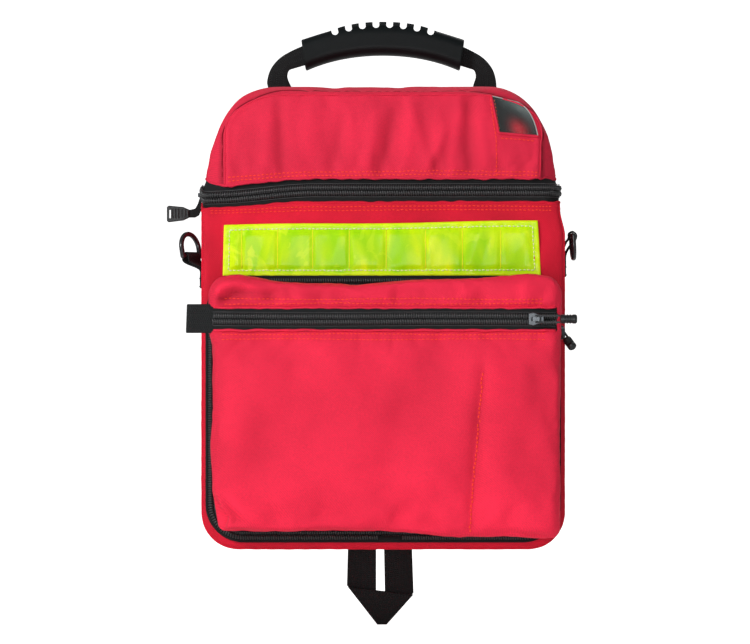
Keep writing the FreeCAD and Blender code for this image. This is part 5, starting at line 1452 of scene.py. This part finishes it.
# ------------------------------------------------------------------ side ring webbing and the pocket's end tab
def folded_ring_web(name, side, c, bar, z_low, body, node, width=18.5):
    """Webbing up the wall, over the ring's bar and back down inside itself."""
    c, b = np.array(c), unit(np.array(bar))
    xw = side * 156.1
    r = 3.1
    out = np.array([side, 0.0, 0.0])
    hz = np.cross(b, [0, 0, 1.0]); hz = unit(hz) * (1 if np.cross(b, [0, 0, 1.0])[0] * side > 0 else -1)
    th = np.linspace(-0.45 * np.pi, 1.25 * np.pi, 26)
    sgn = 1.0 if c[2] > z_low + 10 else 1.0
    arcp = c[None] + r * (-np.cos(th)[:, None] * hz[None] * -1.0 * 1.0 + np.sin(th)[:, None] * np.array([0, 0, 1.0])[None])
    up = np.linspace(0, 1, 22)[:, None]
    # inner leg from the wall to the arc's inner end
    inner_end = c - r * hz
    low_a = np.array([xw + side * 1.0, 0.0, z_low])
    low_b = np.array([xw + side * 2.9, 0.0, z_low + 1.5])
    mid_a = np.array([xw + side * 1.0, 0.0, c[2] - 12.0])
    mid_b = np.array([xw + side * 3.2, 0.0, c[2] - 12.5])
    pa = catmull(np.array([low_a, (low_a + mid_a) / 2, mid_a, inner_end + [0, 0, -3.0], inner_end, c + r * np.array([0, 0, 1.0]) * 0.98 - 0.2 * hz, c + r * hz, c + r * hz + [0, 0, -3.0], mid_b, (low_b + mid_b) / 2, low_b]), 90)
    # across direction turns from the wall's to the bar's
    f = smooth01((pa[:, 2] - (c[2] - 13.0)) / 9.0)[:, None]
    wall = np.array([0, np.sign(b[1]) if b[1] else 1.0, 0.0])
    ac = unit(wall[None] * (1 - f) + b[None] * f)
    o = strap(name, pa, ac, width, M_WEB, t=1.5)
    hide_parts(node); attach(o, body)
    return o


L_BAR = (-math.sin(math.radians(32)), -math.cos(math.radians(32)), 0.0)
folded_ring_web("left_ring_tab", -1, (-167.5, -2.0, 252.5), L_BAR, 223.0, "case", "left_ring_webbing")
# the right ring hangs from a tab sewn above it
RC = np.array([165.5, 0.0, 270.5])
pa = catmull(np.array([[157.1, 0, 233.0], [157.1, 0, 246], [157.4, 0, 258], [160.5, 0, 265.5], [162.6, 0, 268.2], [163.4, 0, 272.5], [165.8, 0, 273.9], [168.6, 0, 271.6], [168.0, 0, 267.0], [163.2, 0, 261.0], [159.6, 0, 254.5], [159.0, 0, 245.0], [159.0, 0, 234.5]]), 90)
o = strap("right_ring_tab", pa, np.tile([0, 1.0, 0], (90, 1)), 18.5, M_WEB, t=1.5)
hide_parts("right_ring_webbing"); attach(o, "case")
st = Bits()
for sx, zz in ((-1, (226, 233)), (1, (236, 243))):
    x = sx * 159.95
    for z in zz:
        p = np.stack([np.full(20, x), np.linspace(-7.5, 7.5, 20), np.full(20, float(z))], -1)
        stitches(st, p, np.array([sx, 0.0, 0]), seed=int(150 + z))
o = st.make("ring_tab_stitching", M_THREAD_K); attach(o, "case")

# folded tab at the pocket zip's left end
B_TAB = bx("pocket_zip_end_tab")
zc, tw = float(B_TAB[0][2] + B_TAB[1][2]) / 2, float(B_TAB[1][2] - B_TAB[0][2])
pa = catmull(np.array([[-139.5, -99.9, zc], [-144.5, -99.6, zc], [-150.0, -99.3, zc], [-158.0, -99.2, zc], [-163.6, -99.1, zc], [-165.0, -98.2, zc], [-163.4, -97.2, zc], [-157.0, -97.1, zc], [-151.0, -97.2, zc], [-146.5, -97.3, zc]]), 70)
o = strap("pocket_zip_tab", pa, np.tile([0.035, 0, 1.0], (70, 1)), tw, M_WEB, t=1.3)
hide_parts("pocket_zip_end_tab"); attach(o, "pocket")

# cover over the perimeter zip's two ends, and the tape that still holds the pocket when it is unzipped
B_END = bx("front_zip_end_cover")
xg, zg = np.meshgrid(np.linspace(B_END[0][0], B_END[1][0], 26), np.linspace(B_END[0][2], B_END[1][2], 8), indexing="ij")
g = np.stack([xg, B_END[1][1] - 0.05 - 0.55 * smooth01(np.minimum(np.minimum(xg - B_END[0][0], B_END[1][0] - xg), np.minimum(zg - B_END[0][2], B_END[1][2] - zg)) / 1.2), zg], -1)
o = grid_obj("front_zip_end_patch", g, M_TAPE); thick(o, 0.5, -1.0)
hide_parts("front_zip_end_cover"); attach(o, "case")
xg, zg = np.meshgrid(np.linspace(-70, 70, 60), np.linspace(RZ0 - 5.1, RZ0 + 4.0, 20), indexing="ij")
g = np.stack([xg, np.full_like(xg, -60.45) - 0.25 * smooth01((zg - 8) / 6), zg], -1)
o = grid_obj("pocket_hinge_tape", g, M_TAPE); thick(o, 0.5, 0.0)
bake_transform(o)

# ------------------------------------------------------------------ linings and rims
def lining_prof(d, u=None):
    return CHW - 4.4, 7.0, CTOP - 1.0, 1.0, 1.0, 28.0, 28.0


av, aq, ad, at = soft(60, 20, 54, -52.2, 48.4, lining_prof, 5.0, 5.0, open_top=True, drop=("top",))
o = mesh_obj("case_lining_skin", av, aq[:, ::-1], M_LINING)
v, n = coords(o), normals(o)
v = v + n * (0.9 * waves(v, 48, 161) * smooth01((290 - v[:, 2]) / 20))[:, None] * 0.8
# quilting channels of the padded walls
for xq in (-88, 0, 88):
    g_ = np.exp(-((v[:, 0] - xq) / 2.6) ** 2) * ((ad < 0.1) | (ad > 100.4))
    v = v + np.stack([0 * g_, np.where(ad < 50, -1.0, 1.0) * g_ * 1.3, 0 * g_], -1)
set_coords(o, v)
thick(o, 0.8, 0.0)
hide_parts("case_lining", "front_foam_pad", "back_foam_pad", "base_board"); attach(o, "case")


def lidlin_prof(d, u=None):
    g = 1 - smooth01(d / 19.0)
    return LHW - 4.6 - 15.5 * g, LBOT + 0.8, LTOP - 4.6 - 6.5 * g, 57.0 - 6.0 * g, 67.0 - 37.0 * g, 1.0, 1.0


av, aq, ad, at = soft(54, 22, 18, -53.6, 53.4, lidlin_prof, 6.0, 6.0, open_bottom=True, drop=("bottom",))
av[:, 0] -= taper(av[:, 0], av[:, 2], ad + 6.0)
o = mesh_obj("lid_lining_skin", av, aq[:, ::-1], M_LINING)
v, n = coords(o), normals(o)
v = v + n * (0.7 * waves(v, 42, 163) * smooth01((v[:, 2] - 322) / 16))[:, None]
set_coords(o, v)
thick(o, 0.8, 0.0)
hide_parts("lid_lining"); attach(o, "lid")


def rim(name, outer_pts, inner_pts, z, mat, body, slot_name, arch=1.0):
    """Closed padded rim between two plan loops with the same number of points."""
    k = 7
    s = np.linspace(0, 1, k)
    g = outer_pts[:, None, :] * (1 - s)[None, :, None] + inner_pts[:, None, :] * s[None, :, None]
    z3 = z + arch * np.sin(np.pi * s)[None, :] + 0.12 * waves(np.concatenate([g, np.zeros(g.shape[:2] + (1,))], -1).reshape(-1, 3), 16, 171).reshape(g.shape[:2])
    p = np.concatenate([g, z3[..., None]], -1)
    p = np.concatenate([p, p[:1]], 0)
    o = grid_obj(name, p, mat, flip=arch < 0)
    thick(o, 0.8, 0.0)
    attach(o, body)
    return o


def plan_loop(hw, y0, y1, r, n=12, m=60):
    th = np.linspace(0, np.pi / 2, n)
    seg = []
    for cx, cy, a0 in ((-hw + r, y0 + r, np.pi), (hw - r, y0 + r, 1.5 * np.pi), (hw - r, y1 - r, 0.0), (-hw + r, y1 - r, 0.5 * np.pi)):
        seg.append(np.stack([cx + r * np.cos(a0 + th), cy + r * np.sin(a0 + th)], -1))
    return np.vstack(seg)


rim("case_rim", plan_loop(CHW - 1.4, YF + 1.8, YB - 2.4, 7.0), plan_loop(CHW - 5.0, YF + 8.4, YB - 12.1, 5.5), CTOP - 1.2, M_CASE, "case", "red_fabric", arch=0.7)


def lid_plan(inset_x, y0, y1):
    d = np.linspace(0, 112, 40)
    hw = LHW - (LHW - LFHW) * (1 - smooth01(d / 19.0)) - inset_x
    y = y0 + d / 112 * (y1 - y0)
    left = np.stack([-hw, y], -1)[::-1]
    right = np.stack([hw, y], -1)
    fr = np.stack([np.linspace(left[-1, 0], right[0, 0], 22)[1:-1], np.full(20, y0)], -1)
    bk = np.stack([np.linspace(right[-1, 0], left[0, 0], 22)[1:-1], np.full(20, y1)], -1)
    return np.vstack([left, fr, right, bk])


rim("lid_rim", lid_plan(1.6, YF + 1.6, YB - 2.0), lid_plan(5.0, YF + 6.8, YB - 7.0), LBOT + 1.3, M_LID, "lid", "red_fabric", arch=-0.7)

# ------------------------------------------------------------------ CAD nodes that stay, with their own finishes
KEEP = {
    "handle_grip": M_GRIP, "left_d_ring": M_RING, "right_d_ring": M_RING, "lid_zip_slider": M_SLIDER,
    "pocket_zip_slider": M_SLIDER, "front_zip_slider": M_SLIDER, "lid_pull_tape": M_TAPE, "lid_pull_grip": M_PULL,
    "pocket_pull_knob": M_PULL, "front_pull_knob": M_PULL, "pocket_pull_cord": M_CORD, "front_pull_cord": M_CORD,
}
for n_, m_ in KEEP.items():
    o = NODES[n_]
    o.data.materials.clear()
    o.data.materials.append(m_)

# ------------------------------------------------------------------ the front left end of the lid zip hangs a little lower
CAD_OBJ = {o.name for o in NODES.values()}
for o in list(scene.objects):
    if o.type != "MESH" or o.name in CAD_OBJ:
        continue
    v = coords(o)
    hz = v[:, 2] - ZZ
    fz = np.where(hz >= 0, 1 - smooth01((hz - 2) / 70), 1 - smooth01((-hz - 2) / 27))
    dr = 6.5 * smooth01((-v[:, 0] - 58) / 90) * smooth01((-v[:, 1] - 38) / 17) * fz
    # the right rear corner of the case top is pulled in a little
    dl = 4.2 * smooth01((v[:, 0] - 126) / 26) * smooth01((v[:, 2] - 268) / 24) * (1 - smooth01((v[:, 2] - LBOT - 6) / 36))
    if dr.max() > 0.01 or dl.max() > 0.01:
        v[:, 2] -= dr
        v[:, 0] -= dl
        set_coords(o, v)

# ------------------------------------------------------------------ floor, light and camera
def floor_mat():
    m, nt, b = new_mat("studio_floor")
    tc = nt.nodes.new("ShaderNodeTexCoord")
    nz = nd(nt, "ShaderNodeTexNoise", Scale=3.0, Detail=2.0); nt.links.new(tc.outputs["Object"], nz.inputs["Vector"])
    nt.links.new(ramp(nt, nz.outputs["Fac"], [(0.3, (0.90, 0.90, 0.90)), (0.7, (0.93, 0.93, 0.93))]), b.inputs["Base Color"])
    b.inputs["Roughness"].default_value = 0.8
    b.inputs["Specular IOR Level"].default_value = 0.1
    b.inputs["Emission Color"].default_value = (1, 1, 1, 1)
    lp = nt.nodes.new("ShaderNodeLightPath")
    nt.links.new(math_node(nt, "MULTIPLY_ADD", lp.outputs["Is Camera Ray"], 0.82, 0.04), b.inputs["Emission Strength"])
    return m


# one curved sheet: floor, sweep and back wall
M_FLOOR = floor_mat()
yy = np.concatenate([np.linspace(-4600, 3200, 16), 3200 + 900 * np.sin(np.linspace(0, np.pi / 2, 14))[1:], np.full(6, 4100.0)])
zz = np.concatenate([np.full(16, -79.0), -79.0 + 900 * (1 - np.cos(np.linspace(0, np.pi / 2, 14)))[1:], np.linspace(900, 4600, 6)])
g = np.stack(np.broadcast_arrays(np.linspace(-4600, 4600, 8)[:, None], yy[None], zz[None]), -1)
o = grid_obj("studio_floor", g, M_FLOOR, flip=False)

w = bpy.data.worlds.new("studio")
scene.world = w
w.use_nodes = True
w.node_tree.nodes["Background"].inputs[0].default_value = (1, 1, 1, 1)
lp = w.node_tree.nodes.new("ShaderNodeLightPath")
mx = w.node_tree.nodes.new("ShaderNodeMapRange")
mx.inputs["To Min"].default_value, mx.inputs["To Max"].default_value = 0.25, 1.0
w.node_tree.links.new(lp.outputs["Is Camera Ray"], mx.inputs["Value"])
w.node_tree.links.new(mx.outputs["Result"], w.node_tree.nodes["Background"].inputs[1])


def area(name, loc, target, size, power, size_y=None):
    l = bpy.data.lights.new(name, "AREA")
    l.energy = power
    l.size = size
    if size_y:
        l.shape = "RECTANGLE"
        l.size_y = size_y
    o = bpy.data.objects.new(name, l)
    scene.collection.objects.link(o)
    o.location = loc
    o.rotation_euler = (Vector(target) - Vector(loc)).to_track_quat("-Z", "Y").to_euler()
    return o


area("key", (-1.25, -1.35, 1.15), (0, 0, 0.2), 0.45, 25.5)
area("fill", (1.1, -2.1, 0.5), (0, 0, 0.2), 1.2, 2)
area("low", (-0.1, -1.7, -0.02), (0, 0, 0.08), 0.7, 11)
area("rim", (0.4, 1.2, 1.4), (0, 0, 0.3), 0.9, 6)

cam = bpy.data.cameras.new("cam")
cam_o = bpy.data.objects.new("cam", cam)
scene.collection.objects.link(cam_o)
cam_o.location = (-0.007, -2.5, 0.195)
cam_o.rotation_euler = (math.radians(90), 0, 0)
cam.sensor_width = 36.0
cam.lens = 137.14
cam.clip_start, cam.clip_end = 0.05, 30
scene.camera = cam_o
scene.view_settings.view_transform = "Standard"
scene.view_settings.look = "None"
